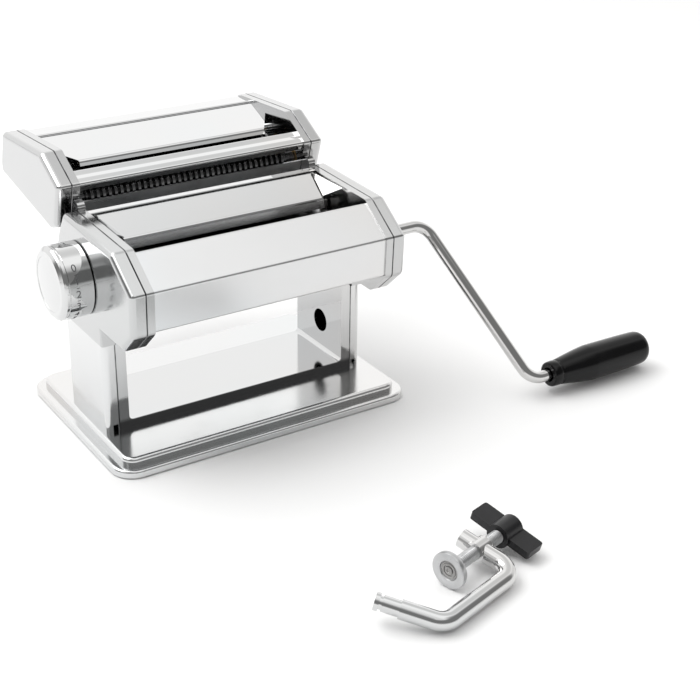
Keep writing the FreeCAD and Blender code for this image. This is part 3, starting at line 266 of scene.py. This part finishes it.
# faint change of colour of a nickel and chrome plate
def plateTintGroup():
    group, ins, outs = newGroup("plateTint", [
        ("Vector", "NodeSocketVector", None), ("Scale", "NodeSocketFloat", 7.0),
        ("Plain", "NodeSocketColor", (0.64, 0.645, 0.65, 1)),
        ("Warm", "NodeSocketColor", (0.66, 0.64, 0.62, 1)),
        ("Cool", "NodeSocketColor", (0.62, 0.65, 0.67, 1))], [("Color", "NodeSocketColor")])
    first = rangeOf(group, noiseOf(group, ins["Vector"], ins["Scale"], 1.0, 0.4), 0.45, 0.65, 0.0, 1.0)
    shifted = timesOf(group, ins["Vector"], (-1.3, 1.1, 0.9))
    second = rangeOf(group, noiseOf(group, shifted, ins["Scale"], 1.0, 0.4), 0.45, 0.65, 0.0, 1.0)
    tinted = mixOf(group, second, mixOf(group, first, ins["Plain"], ins["Warm"]), ins["Cool"])
    group.links.new(tinted, outs["Color"])
    return group


# speckle and flow of moulded plastic or rubber
def mouldedSkinGroup():
    group, ins, outs = newGroup("mouldedSkin", [
        ("Vector", "NodeSocketVector", None), ("Grain", "NodeSocketFloat", 1800.0),
        ("Base", "NodeSocketFloat", 0.2), ("Spread", "NodeSocketFloat", 0.1),
        ("Dark", "NodeSocketColor", (0.012, 0.012, 0.013, 1)),
        ("Light", "NodeSocketColor", (0.03, 0.03, 0.032, 1))],
        [("Color", "NodeSocketColor"), ("Roughness", "NodeSocketFloat"), ("Height", "NodeSocketFloat")])
    grain = noiseOf(group, ins["Vector"], ins["Grain"], 2.0, 0.5)
    flow = rangeOf(group, noiseOf(group, ins["Vector"], 45.0, 4.0, 0.6), 0.4, 0.75, 0.0, 1.0)
    rough = mathOf(group, "ADD", ins["Base"], mathOf(group, "MULTIPLY", flow, ins["Spread"]))
    group.links.new(mixOf(group, flow, ins["Dark"], ins["Light"]), outs["Color"])
    group.links.new(rough, outs["Roughness"])
    group.links.new(grain, outs["Height"])
    return group


# painted shade: a dark line along the joint between a cover and its plate, where the gap lies in shade, both
# ends alike
def seamShadeGroup():
    group, ins, outs = newGroup("seamShade", [
        ("Vector", "NodeSocketVector", None), ("Seam", "NodeSocketFloat", 0.0847),
        ("Width", "NodeSocketFloat", 0.0005)], [("Mask", "NodeSocketFloat")])
    split = group.nodes.new("ShaderNodeSeparateXYZ")
    group.links.new(ins["Vector"], split.inputs[0])
    off = mathOf(group, "SUBTRACT", mathOf(group, "ABSOLUTE", split.outputs["X"]), ins["Seam"])
    near = mathOf(group, "DIVIDE", mathOf(group, "ABSOLUTE", off), ins["Width"])
    uneven = rangeOf(group, noiseOf(group, ins["Vector"], 160.0, 2.0, 0.5), 0.3, 0.6, 0.75, 1.0)
    line = rangeOf(group, near, 0.6, 1.1, 1.0, 0.0)
    group.links.new(mathOf(group, "MULTIPLY", line, uneven), outs["Mask"])
    return group


# a low front lip that lies in shade: everything ahead of Front and below Top
def lipShadeGroup():
    group, ins, outs = newGroup("lipShade", [
        ("Vector", "NodeSocketVector", None), ("Front", "NodeSocketFloat", -0.028),
        ("Top", "NodeSocketFloat", 0.018)], [("Mask", "NodeSocketFloat")])
    split = group.nodes.new("ShaderNodeSeparateXYZ")
    group.links.new(ins["Vector"], split.inputs[0])
    ahead = mathOf(group, "LESS_THAN", split.outputs["Y"], ins["Front"])
    below = rangeOf(group, mathOf(group, "SUBTRACT", split.outputs["Z"], ins["Top"]), -0.002, 0.001, 1.0, 0.0)
    group.links.new(mathOf(group, "MULTIPLY", ahead, below), outs["Mask"])
    return group


groups = {"seam": seamShadeGroup(), "lip": lipShadeGroup(), "marks": handlingMarksGroup(),
          "form": surfaceFormGroup(), "rings": turnedRingsGroup(), "tint": plateTintGroup(),
          "skin": mouldedSkinGroup()}
finishes = {}


def newFinish(name, metallic):
    material = bpy.data.materials.new(name)
    material.use_nodes = True
    tree = material.node_tree
    shader = tree.nodes["Principled BSDF"]
    shader.inputs["Metallic"].default_value = metallic
    place = tree.nodes.new("ShaderNodeTexCoord").outputs["Object"]
    finishes[name] = material
    return tree, shader, place


def useGroup(tree, group, place, values):
    node = tree.nodes.new("ShaderNodeGroup")
    node.node_tree = groups[group]
    tree.links.new(place, node.inputs["Vector"])
    for label, value in values.items():
        node.inputs[label].default_value = value
    return node.outputs


def addBump(tree, shader, height, depth):
    bump = tree.nodes.new("ShaderNodeBump")
    bump.inputs["Strength"].default_value = 1.0
    bump.inputs["Distance"].default_value = depth
    tree.links.new(height, bump.inputs["Height"])
    tree.links.new(bump.outputs["Normal"], shader.inputs["Normal"])


# plated sheet and plated castings: a mirror with a little life in it
platedFinishes = {
    "chromeSheet": {"plain": 0.69, "tint": 0.012, "base": 0.035, "smudges": 0.05, "hairlines": 0.03,
                    "depth": 0.00022, "waveScale": 13.0, "peel": 0.0},
    "cheekSheet": {"plain": 0.42, "tint": 0.01, "base": 0.08, "smudges": 0.05, "hairlines": 0.03,
                   "depth": 0.00022, "waveScale": 13.0, "peel": 0.0},
    "panelSheet": {"plain": 0.71, "tint": 0.02, "base": 0.24, "smudges": 0.03, "hairlines": 0.015,
                   "depth": 0.00018, "waveScale": 13.0, "peel": 0.0},
    "chromeStand": {"plain": 0.71, "tint": 0.008, "base": 0.16, "smudges": 0.06, "hairlines": 0.04,
                    "depth": 0.00012, "waveScale": 20.0, "peel": 0.0},
    "chromeFrame": {"plain": 0.64, "tint": 0.01, "base": 0.06, "smudges": 0.06, "hairlines": 0.04,
                    "depth": 0.00012, "waveScale": 20.0, "peel": 0.0, "lipTop": 0.0165},
    "chromeLeg": {"plain": 0.71, "tint": 0.008, "base": 0.15, "smudges": 0.08, "hairlines": 0.04,
                  "depth": 0.00012, "waveScale": 20.0, "peel": 0.0, "seam": 0.0847, "seamWidth": 0.0009},
    "chromeCasting": {"plain": 0.55, "tint": 0.006, "base": 0.12, "smudges": 0.08, "hairlines": 0.03,
                      "depth": 0.00007, "waveScale": 45.0, "peel": 0.07, "seam": 0.0847, "seamWidth": 0.0005},
    "chromeRod": {"plain": 0.645, "tint": 0.006, "base": 0.05, "smudges": 0.05, "hairlines": 0.04,
                  "depth": 0.00003, "waveScale": 90.0, "peel": 0.03},
    "dialChrome": {"plain": 0.645, "tint": 0.005, "base": 0.04, "smudges": 0.05, "hairlines": 0.02,
                   "depth": 0.00002, "waveScale": 60.0, "peel": 0.02},
    "dialFace": {"plain": 0.645, "tint": 0.006, "base": 0.16, "smudges": 0.06, "hairlines": 0.03,
                 "depth": 0.00002, "waveScale": 60.0, "peel": 0.05},
}
# colours of painted shade: the dark joint line and the shaded front lip
shadeTones = {"seam": (0.03, 0.03, 0.032, 1), "lip": (0.16, 0.16, 0.163, 1)}


def makePlated(name, values):
    tree, shader, place = newFinish(name, 1.0)
    plain, shift = values["plain"], values["tint"]
    tint = useGroup(tree, "tint", place, {
        "Plain": (plain, plain + 0.003, plain + 0.006, 1), "Warm": (plain + shift, plain, plain - shift, 1),
        "Cool": (plain - shift, plain + 0.004, plain + shift, 1)})
    color = tint["Color"]
    # painted shade along the joint line
    if "seam" in values:
        seam = useGroup(tree, "seam", place, {"Seam": values["seam"], "Width": values["seamWidth"]})
        color = mixOf(tree, seam["Mask"], color, shadeTones["seam"])
    # painted shade on the low front lip
    if "lipTop" in values:
        lip = useGroup(tree, "lip", place, {"Top": values["lipTop"]})
        color = mixOf(tree, lip["Mask"], color, shadeTones["lip"])
    tree.links.new(color, shader.inputs["Base Color"])
    marks = useGroup(tree, "marks", place, {"Base": values["base"], "Smudges": values["smudges"],
                                            "Hairlines": values["hairlines"]})
    tree.links.new(marks["Roughness"], shader.inputs["Roughness"])
    form = useGroup(tree, "form", place, {"Wave Scale": values["waveScale"], "Peel": values["peel"]})
    addBump(tree, shader, form["Height"], values["depth"])


# turned and ground parts, with rings across their own axis
turnedFinishes = {
    "groundRoller": {"dark": (0.30, 0.303, 0.306), "light": (0.38, 0.383, 0.386), "base": 0.14,
                     "spread": 0.14, "across": (1500.0, 25.0, 25.0), "depth": 0.000012},
    "cutterSteel": {"dark": (0.10, 0.10, 0.102), "light": (0.17, 0.17, 0.172), "base": 0.18, "spread": 0.15,
                    "across": (1200.0, 200.0, 200.0), "depth": 0.000012},
    "gearSteel": {"dark": (0.24, 0.235, 0.23), "light": (0.38, 0.375, 0.37), "base": 0.28, "spread": 0.2,
                  "across": (900.0, 900.0, 900.0), "depth": 0.00002},
    "springSteel": {"dark": (0.40, 0.40, 0.41), "light": (0.52, 0.52, 0.53), "base": 0.2, "spread": 0.12,
                    "across": (60.0, 900.0, 900.0), "depth": 0.00001},
    "combSteel": {"dark": (0.36, 0.365, 0.37), "light": (0.46, 0.465, 0.47), "base": 0.22, "spread": 0.16,
                  "across": (20.0, 1200.0, 1200.0), "depth": 0.00001},
    "bushBronze": {"dark": (0.52, 0.33, 0.14), "light": (0.68, 0.46, 0.22), "base": 0.24, "spread": 0.18,
                   "across": (1600.0, 60.0, 60.0), "depth": 0.000015},
    "zincPlate": {"dark": (0.46, 0.465, 0.47), "light": (0.60, 0.605, 0.61), "base": 0.22, "spread": 0.2,
                  "across": (300.0, 300.0, 300.0), "depth": 0.00002},
}


def makeTurned(name, values):
    tree, shader, place = newFinish(name, 1.0)
    rings = useGroup(tree, "rings", place, {"Across": values["across"], "Base": values["base"],
                                            "Spread": values["spread"]})
    color = mixOf(tree, rings["Tone"], (*values["dark"], 1), (*values["light"], 1))
    tree.links.new(color, shader.inputs["Base Color"])
    tree.links.new(rings["Roughness"], shader.inputs["Roughness"])
    addBump(tree, shader, rings["Height"], values["depth"])


# plastics and rubber
mouldedFinishes = {
    "blackGrip": {"dark": (0.0015, 0.0015, 0.0018), "light": (0.004, 0.004, 0.0045), "base": 0.1,
                  "spread": 0.12, "grain": 900.0, "depth": 0.00001, "ior": 1.33},
    "darkWing": {"dark": (0.008, 0.008, 0.009), "light": (0.016, 0.016, 0.018), "base": 0.3, "spread": 0.14,
                 "grain": 2200.0, "depth": 0.00003, "ior": 1.4},
    "footRubber": {"dark": (0.012, 0.012, 0.012), "light": (0.03, 0.03, 0.03), "base": 0.6, "spread": 0.2,
                   "grain": 1500.0, "depth": 0.00006, "ior": 1.45},
    "dialInk": {"dark": (0.09, 0.09, 0.095), "light": (0.14, 0.14, 0.145), "base": 0.4, "spread": 0.2,
                "grain": 2500.0, "depth": 0.00001, "ior": 1.45},
}


def makeMoulded(name, values):
    tree, shader, place = newFinish(name, 0.0)
    skin = useGroup(tree, "skin", place, {"Grain": values["grain"], "Base": values["base"],
                                          "Spread": values["spread"], "Dark": (*values["dark"], 1),
                                          "Light": (*values["light"], 1)})
    tree.links.new(skin["Color"], shader.inputs["Base Color"])
    tree.links.new(skin["Roughness"], shader.inputs["Roughness"])
    shader.inputs["IOR"].default_value = values["ior"]
    addBump(tree, shader, skin["Height"], values["depth"])


for make, table in ((makePlated, platedFinishes), (makeTurned, turnedFinishes),
                    (makeMoulded, mouldedFinishes)):
    for name, values in table.items():
        make(name, values)
print("finishes made:", len(finishes))

# which finish each piece wears
finishOf = {
    "cheekSheet": ["hopper_wings"],
    "chromeStand": ["base_plate"],
    "chromeFrame": ["inner_frame"],
    "chromeLeg": ["left_leg_shell", "right_leg_shell"],
    "panelSheet": ["front_panel"],
    "chromeSheet": ["back_panel", "hopper_plate", "cutter_front_strip", "cutter_ramp", "cutter_rear_plate"],
    "chromeCasting": ["left_end_plate", "right_end_plate", "left_side_cover", "right_side_cover",
                      "cutter_left_plate", "cutter_right_plate", "cutter_left_cover", "cutter_right_cover"],
    "chromeRod": ["crank_rod", "clamp_bow", "tie_rods", "tie_rod_nuts", "cutter_tie_rods", "cutter_rails"],
    "dialChrome": ["dial_knob"],
    "dialFace": ["dial_cap"],
    "groundRoller": ["drive_roller", "drive_shaft", "adjustable_roller", "adjusting_rod"],
    "cutterSteel": ["narrow_front_cutter", "narrow_rear_cutter", "wide_front_cutter", "wide_rear_cutter"],
    "gearSteel": ["drive_gear", "adjustable_gear", "narrow_front_gear", "narrow_rear_gear", "wide_front_gear",
                  "wide_rear_gear", "eccentric_bushes", "base_bolts"],
    "springSteel": ["dial_spring", "grip_clip", "dial_index_pin", "dial_screw", "front_scraper",
                    "rear_scraper"],
    "combSteel": ["narrow_combs", "wide_combs"],
    "bushBronze": ["drive_bushes", "floating_bushes", "cutter_bushes"],
    "zincPlate": ["clamp_screw", "clamp_pad"],
    "blackGrip": ["crank_grip", "grip_plug"],
    "darkWing": ["clamp_wing"],
    "footRubber": ["rubber_feet"],
}


def dressPiece(node, finish):
    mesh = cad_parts[node].data
    mesh.materials.clear()
    mesh.materials.append(finishes[finish])


for finish, pieceNames in finishOf.items():
    for pieceName in pieceNames:
        dressPiece(pieceName, finish)
print("CAD pieces dressed")


# the way forward along a level axis, with the two ways across it
def axisWays(axis):
    forward = Vector(axis).normalized()
    side = forward.cross(Vector((0, 0, 1))).normalized()
    return forward, side, side.cross(forward)


# a mesh from a finished bmesh, with its normals outward
def meshFrom(shape, name, smooth):
    bmesh.ops.recalc_face_normals(shape, faces=shape.faces)
    if smooth:
        for face in shape.faces:
            face.smooth = True
    mesh = bpy.data.meshes.new(name)
    shape.to_mesh(mesh)
    shape.free()
    return mesh


# shapes turned about a level axis: profile of (along, radius) pairs in mm
def turnedMesh(name, profile, origin, axis, steps):
    forward, side, up = axisWays(axis)
    shape = bmesh.new()
    rings = []
    for along, radius in profile:
        centre = Vector(origin) + forward * along / 1000
        if radius <= 0:
            rings.append([shape.verts.new(centre)])
            continue
        ring = []
        for i in range(steps):
            turn = 2 * math.pi * i / steps
            spoke = side * math.cos(turn) + up * math.sin(turn)
            ring.append(shape.verts.new(centre + spoke * radius / 1000))
        rings.append(ring)
    for first, second in zip(rings, rings[1:]):
        for i in range(steps):
            j = (i + 1) % steps
            if len(first) == 1:
                corners = [first[0], second[j], second[i]]
            elif len(second) == 1:
                corners = [first[i], first[j], second[0]]
            else:
                corners = [first[i], first[j], second[j], second[i]]
            shape.faces.new(corners)
    return meshFrom(shape, name, True)


# extra profile points that follow a smooth curve through the given ones
def smoothProfile(points, between=6):
    result = []
    for i in range(len(points) - 1):
        p0 = points[max(i - 1, 0)]
        p1, p2 = points[i], points[i + 1]
        p3 = points[min(i + 2, len(points) - 1)]
        for k in range(between):
            t = k / between
            value = [0.5 * (2 * b + (c - a) * t + (2 * a - 5 * b + 4 * c - d) * t * t
                            + (3 * b - a - 3 * c + d) * t ** 3) for a, b, c, d in zip(p0, p1, p2, p3)]
            result.append(tuple(value))
    result.append(points[-1])
    return result


# a mesh as its own piece on a body; edges sharper than the angle stay sharp
def placePiece(mesh, body, finish, sharpAngle=35.0):
    piece = bpy.data.objects.new(mesh.name, mesh)
    scene.collection.objects.link(piece)
    mesh.materials.append(finishes[finish])
    mesh.set_sharp_from_angle(angle=math.radians(sharpAngle))
    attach(piece, body)
    return piece


# grip, in mm: collar at the neck, a cone that swells to its widest two fifths along, then almost a cylinder
gripShape = {"start": 187.9, "y": -115.489, "z": 13.8,
             "collar": [(0.0, 5.0), (0.0, 7.4), (0.5, 8.2), (1.4, 8.55), (5.6, 8.75), (6.4, 8.5), (6.9, 8.2),
                        (7.6, 8.25), (8.3, 8.7)],
             "body": [(8.3, 8.7), (14.0, 9.6), (24.0, 11.1), (32.0, 12.05), (36.5, 12.3), (50.0, 12.25),
                      (66.0, 12.0), (76.0, 11.75)],
             "butt": [(76.0, 11.75), (79.5, 11.45), (82.0, 10.5), (83.5, 8.9), (84.0, 6.6)],
             "bore": [(84.0, 5.0), (80.0, 5.0), (4.0, 5.0), (0.0, 5.0)]}


def buildGrip():
    body = smoothProfile(gripShape["body"])
    butt = smoothProfile(gripShape["butt"], 5)
    outline = gripShape["collar"][:-1] + body[:-1] + butt + gripShape["bore"]
    origin = (gripShape["start"] / 1000, gripShape["y"] / 1000, gripShape["z"] / 1000)
    mesh = turnedMesh("smoothGrip", outline, origin, (1, 0, 0), 128)
    grip = placePiece(mesh, "grip", "blackGrip", 28.0)
    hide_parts("crank_grip")


buildGrip()
print("grip built")

# clamp: where its screw meets the pad and the way the screw points, then its sizes in mm
clampScrew = {"face": (-0.000425, -0.258748, 0.011), "axis": (-0.962218, -0.27228, 0.0), "radius": 4.0,
              "start": -54.0, "end": -2.05, "pitch": 1.25, "depth": 0.62, "steps": 40, "perPitch": 8,
              "fadeTurns": 1.5}

# pad, in mm along and out from its face: a dished disc with a collar behind it, and the rivet in the dish
padShape = {"body": [(-2.1, 0.0), (-2.1, 4.1), (-6.0, 4.1), (-6.0, 5.2), (-5.6, 5.6), (-1.8, 5.6),
                     (-1.4, 6.1), (-1.4, 10.1), (-1.2, 10.5), (-0.8, 10.7), (1.3, 10.7), (1.8, 10.5),
                     (2.0, 10.0), (1.9, 8.0), (1.75, 6.4), (1.5, 5.9), (0.7, 5.5), (0.5, 5.1), (0.5, 0.0)],
            "centre": [(0.4, 0.0), (0.4, 5.3), (0.8, 5.3), (0.85, 4.5), (1.3, 4.3), (1.3, 3.3), (0.85, 3.1),
                       (0.85, 2.6), (1.5, 2.4), (1.65, 1.9), (1.6, 1.2), (1.2, 0.9), (1.2, 0.0)]}


def buildPad():
    disc = turnedMesh("clampPadDisc", padShape["body"], clampScrew["face"], clampScrew["axis"], 96)
    pad = placePiece(disc, "clamp_foot", "zincPlate", 30.0)
    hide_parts("clamp_pad")
    rivet = turnedMesh("clampPadRivet", padShape["centre"], clampScrew["face"], clampScrew["axis"], 72)
    placePiece(rivet, "clamp_foot", "gearSteel", 30.0)


# the screw: a rolled thread that fades out at both ends
def buildScrew():
    forward, side, up = axisWays(clampScrew["axis"])
    steps, length = clampScrew["steps"], clampScrew["end"] - clampScrew["start"]
    count = round(length / clampScrew["pitch"] * clampScrew["perPitch"])
    faded = clampScrew["perPitch"] * clampScrew["fadeTurns"]
    shape = bmesh.new()
    rings = []
    for k in range(count + 1):
        along = clampScrew["start"] + length * k / count
        fade = min(1.0, (count - k) / faded, k / faded)
        ring = []
        for i in range(steps):
            turn = 2 * math.pi * i / steps
            phase = (along / clampScrew["pitch"] - i / steps) % 1.0
            groove = min(1.0, max(0.0, 1.35 - abs(phase - 0.5) * 3.6))
            radius = (clampScrew["radius"] - clampScrew["depth"] * groove * fade) / 1000
            centre = Vector(clampScrew["face"]) + forward * along / 1000
            spoke = side * math.cos(turn) + up * math.sin(turn)
            ring.append(shape.verts.new(centre + spoke * radius))
        rings.append(ring)
    for first, second in zip(rings, rings[1:]):
        for i in range(steps):
            shape.faces.new((first[i], first[(i + 1) % steps], second[(i + 1) % steps], second[i]))
    shape.faces.new(rings[0])
    shape.faces.new(rings[-1])
    mesh = meshFrom(shape, "clampScrewThread", True)
    screw = placePiece(mesh, "clamp_turner", "zincPlate", 50.0)
    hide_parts("clamp_screw")


buildPad()
buildScrew()
print("clamp pad and screw built")

# numbers round the dial's rim, in metres and degrees; they follow its turn, one for each setting
dialMarks = {"x": -0.1050, "radius": 0.02304, "axisY": -0.0053, "axisZ": 0.107, "first": 140.8, "step": 20.0,
             "count": 10, "height": 0.0046, "thickness": 0.00012, "capShare": 0.7}


# a point of a flat number laid round the rim
def wrapOnDial(point, angle):
    turn = math.radians(angle) - point.y / dialMarks["radius"]
    radius = dialMarks["radius"] + point.z
    return Vector((dialMarks["x"] + point.x, dialMarks["axisY"] + radius * math.cos(turn),
                   dialMarks["axisZ"] + radius * math.sin(turn)))


def buildDialMarks():
    shape = bmesh.new()
    for number in range(dialMarks["count"]):
        curve = bpy.data.curves.new("number", "FONT")
        curve.body = str(number)
        curve.size = dialMarks["height"] / dialMarks["capShare"]
        curve.align_x, curve.align_y = "CENTER", "CENTER"
        curve.extrude = dialMarks["thickness"] / 2
        curve.resolution_u = 6
        holder = bpy.data.objects.new("number", curve)
        scene.collection.objects.link(holder)
        letter = bpy.data.meshes.new_from_object(holder.evaluated_get(bpy.context.evaluated_depsgraph_get()))
        bpy.data.objects.remove(holder)
        angle = dialMarks["first"] + dialMarks["step"] * number
        for vertex in letter.vertices:
            vertex.co = wrapOnDial(vertex.co, angle)
        shape.from_mesh(letter)
        bpy.data.meshes.remove(letter)
    bmesh.ops.remove_doubles(shape, verts=shape.verts, dist=1e-6)
    placePiece(meshFrom(shape, "dialNumbers", False), "dial", "dialInk")


# short ticks halfway between the numbers, repeated by a node tree
tickRow = {"Count": 9, "First": 150.8, "Step": 20.0, "Radius": 0.02303, "Length": 0.0018, "Width": 0.0004,
           "Depth": 0.00012}


def buildTicks():
    tree = bpy.data.node_groups.new("tickRow", "GeometryNodeTree")
    tree.interface.new_socket("Geometry", in_out="INPUT", socket_type="NodeSocketGeometry")
    sockets = {}
    for label, value in tickRow.items():
        kind = "NodeSocketInt" if label == "Count" else "NodeSocketFloat"
        sockets[label] = tree.interface.new_socket(label, in_out="INPUT", socket_type=kind).identifier
    tree.interface.new_socket("Geometry", in_out="OUTPUT", socket_type="NodeSocketGeometry")
    link = tree.links.new
    ins = tree.nodes.new("NodeGroupInput").outputs
    outs = tree.nodes.new("NodeGroupOutput").inputs
    index = tree.nodes.new("GeometryNodeInputIndex").outputs[0]
    angle = mathOf(tree, "MULTIPLY", index, ins["Step"])
    angle = mathOf(tree, "RADIANS", mathOf(tree, "ADD", angle, ins["First"]))
    place = tree.nodes.new("ShaderNodeCombineXYZ")
    place.inputs["X"].default_value = dialMarks["x"]
    across = mathOf(tree, "MULTIPLY", mathOf(tree, "COSINE", angle), ins["Radius"])
    upward = mathOf(tree, "MULTIPLY", mathOf(tree, "SINE", angle), ins["Radius"])
    link(mathOf(tree, "ADD", across, dialMarks["axisY"]), place.inputs["Y"])
    link(mathOf(tree, "ADD", upward, dialMarks["axisZ"]), place.inputs["Z"])
    points = tree.nodes.new("GeometryNodePoints")
    link(ins["Count"], points.inputs["Count"])
    link(place.outputs[0], points.inputs["Position"])
    size = tree.nodes.new("ShaderNodeCombineXYZ")
    for axis, label in (("X", "Length"), ("Y", "Depth"), ("Z", "Width")):
        link(ins[label], size.inputs[axis])
    tick = tree.nodes.new("GeometryNodeMeshCube")
    link(size.outputs[0], tick.inputs["Size"])
    turn = tree.nodes.new("ShaderNodeCombineXYZ")
    link(angle, turn.inputs["X"])
    row = tree.nodes.new("GeometryNodeInstanceOnPoints")
    link(points.outputs[0], row.inputs["Points"])
    link(tick.outputs["Mesh"], row.inputs["Instance"])
    link(turn.outputs[0], row.inputs["Rotation"])
    real = tree.nodes.new("GeometryNodeRealizeInstances")
    link(row.outputs[0], real.inputs[0])
    coat = tree.nodes.new("GeometryNodeSetMaterial")
    coat.inputs["Material"].default_value = finishes["dialInk"]
    link(real.outputs[0], coat.inputs[0])
    link(coat.outputs[0], outs[0])
    holder = bpy.data.objects.new("tickHolder", bpy.data.meshes.new("tickHolder"))
    scene.collection.objects.link(holder)
    maker = holder.modifiers.new("ticks", "NODES")
    maker.node_group = tree
    for label, value in tickRow.items():
        maker[sockets[label]] = value
    grown = holder.evaluated_get(bpy.context.evaluated_depsgraph_get())
    mesh = bpy.data.meshes.new_from_object(grown)
    mesh.name = "dialTicks"
    holder.modifiers.remove(maker)
    bpy.data.objects.remove(holder)
    mesh.materials.clear()
    placePiece(mesh, "dial", "dialInk")


buildDialMarks()
buildTicks()
print("dial numbers and ticks built")
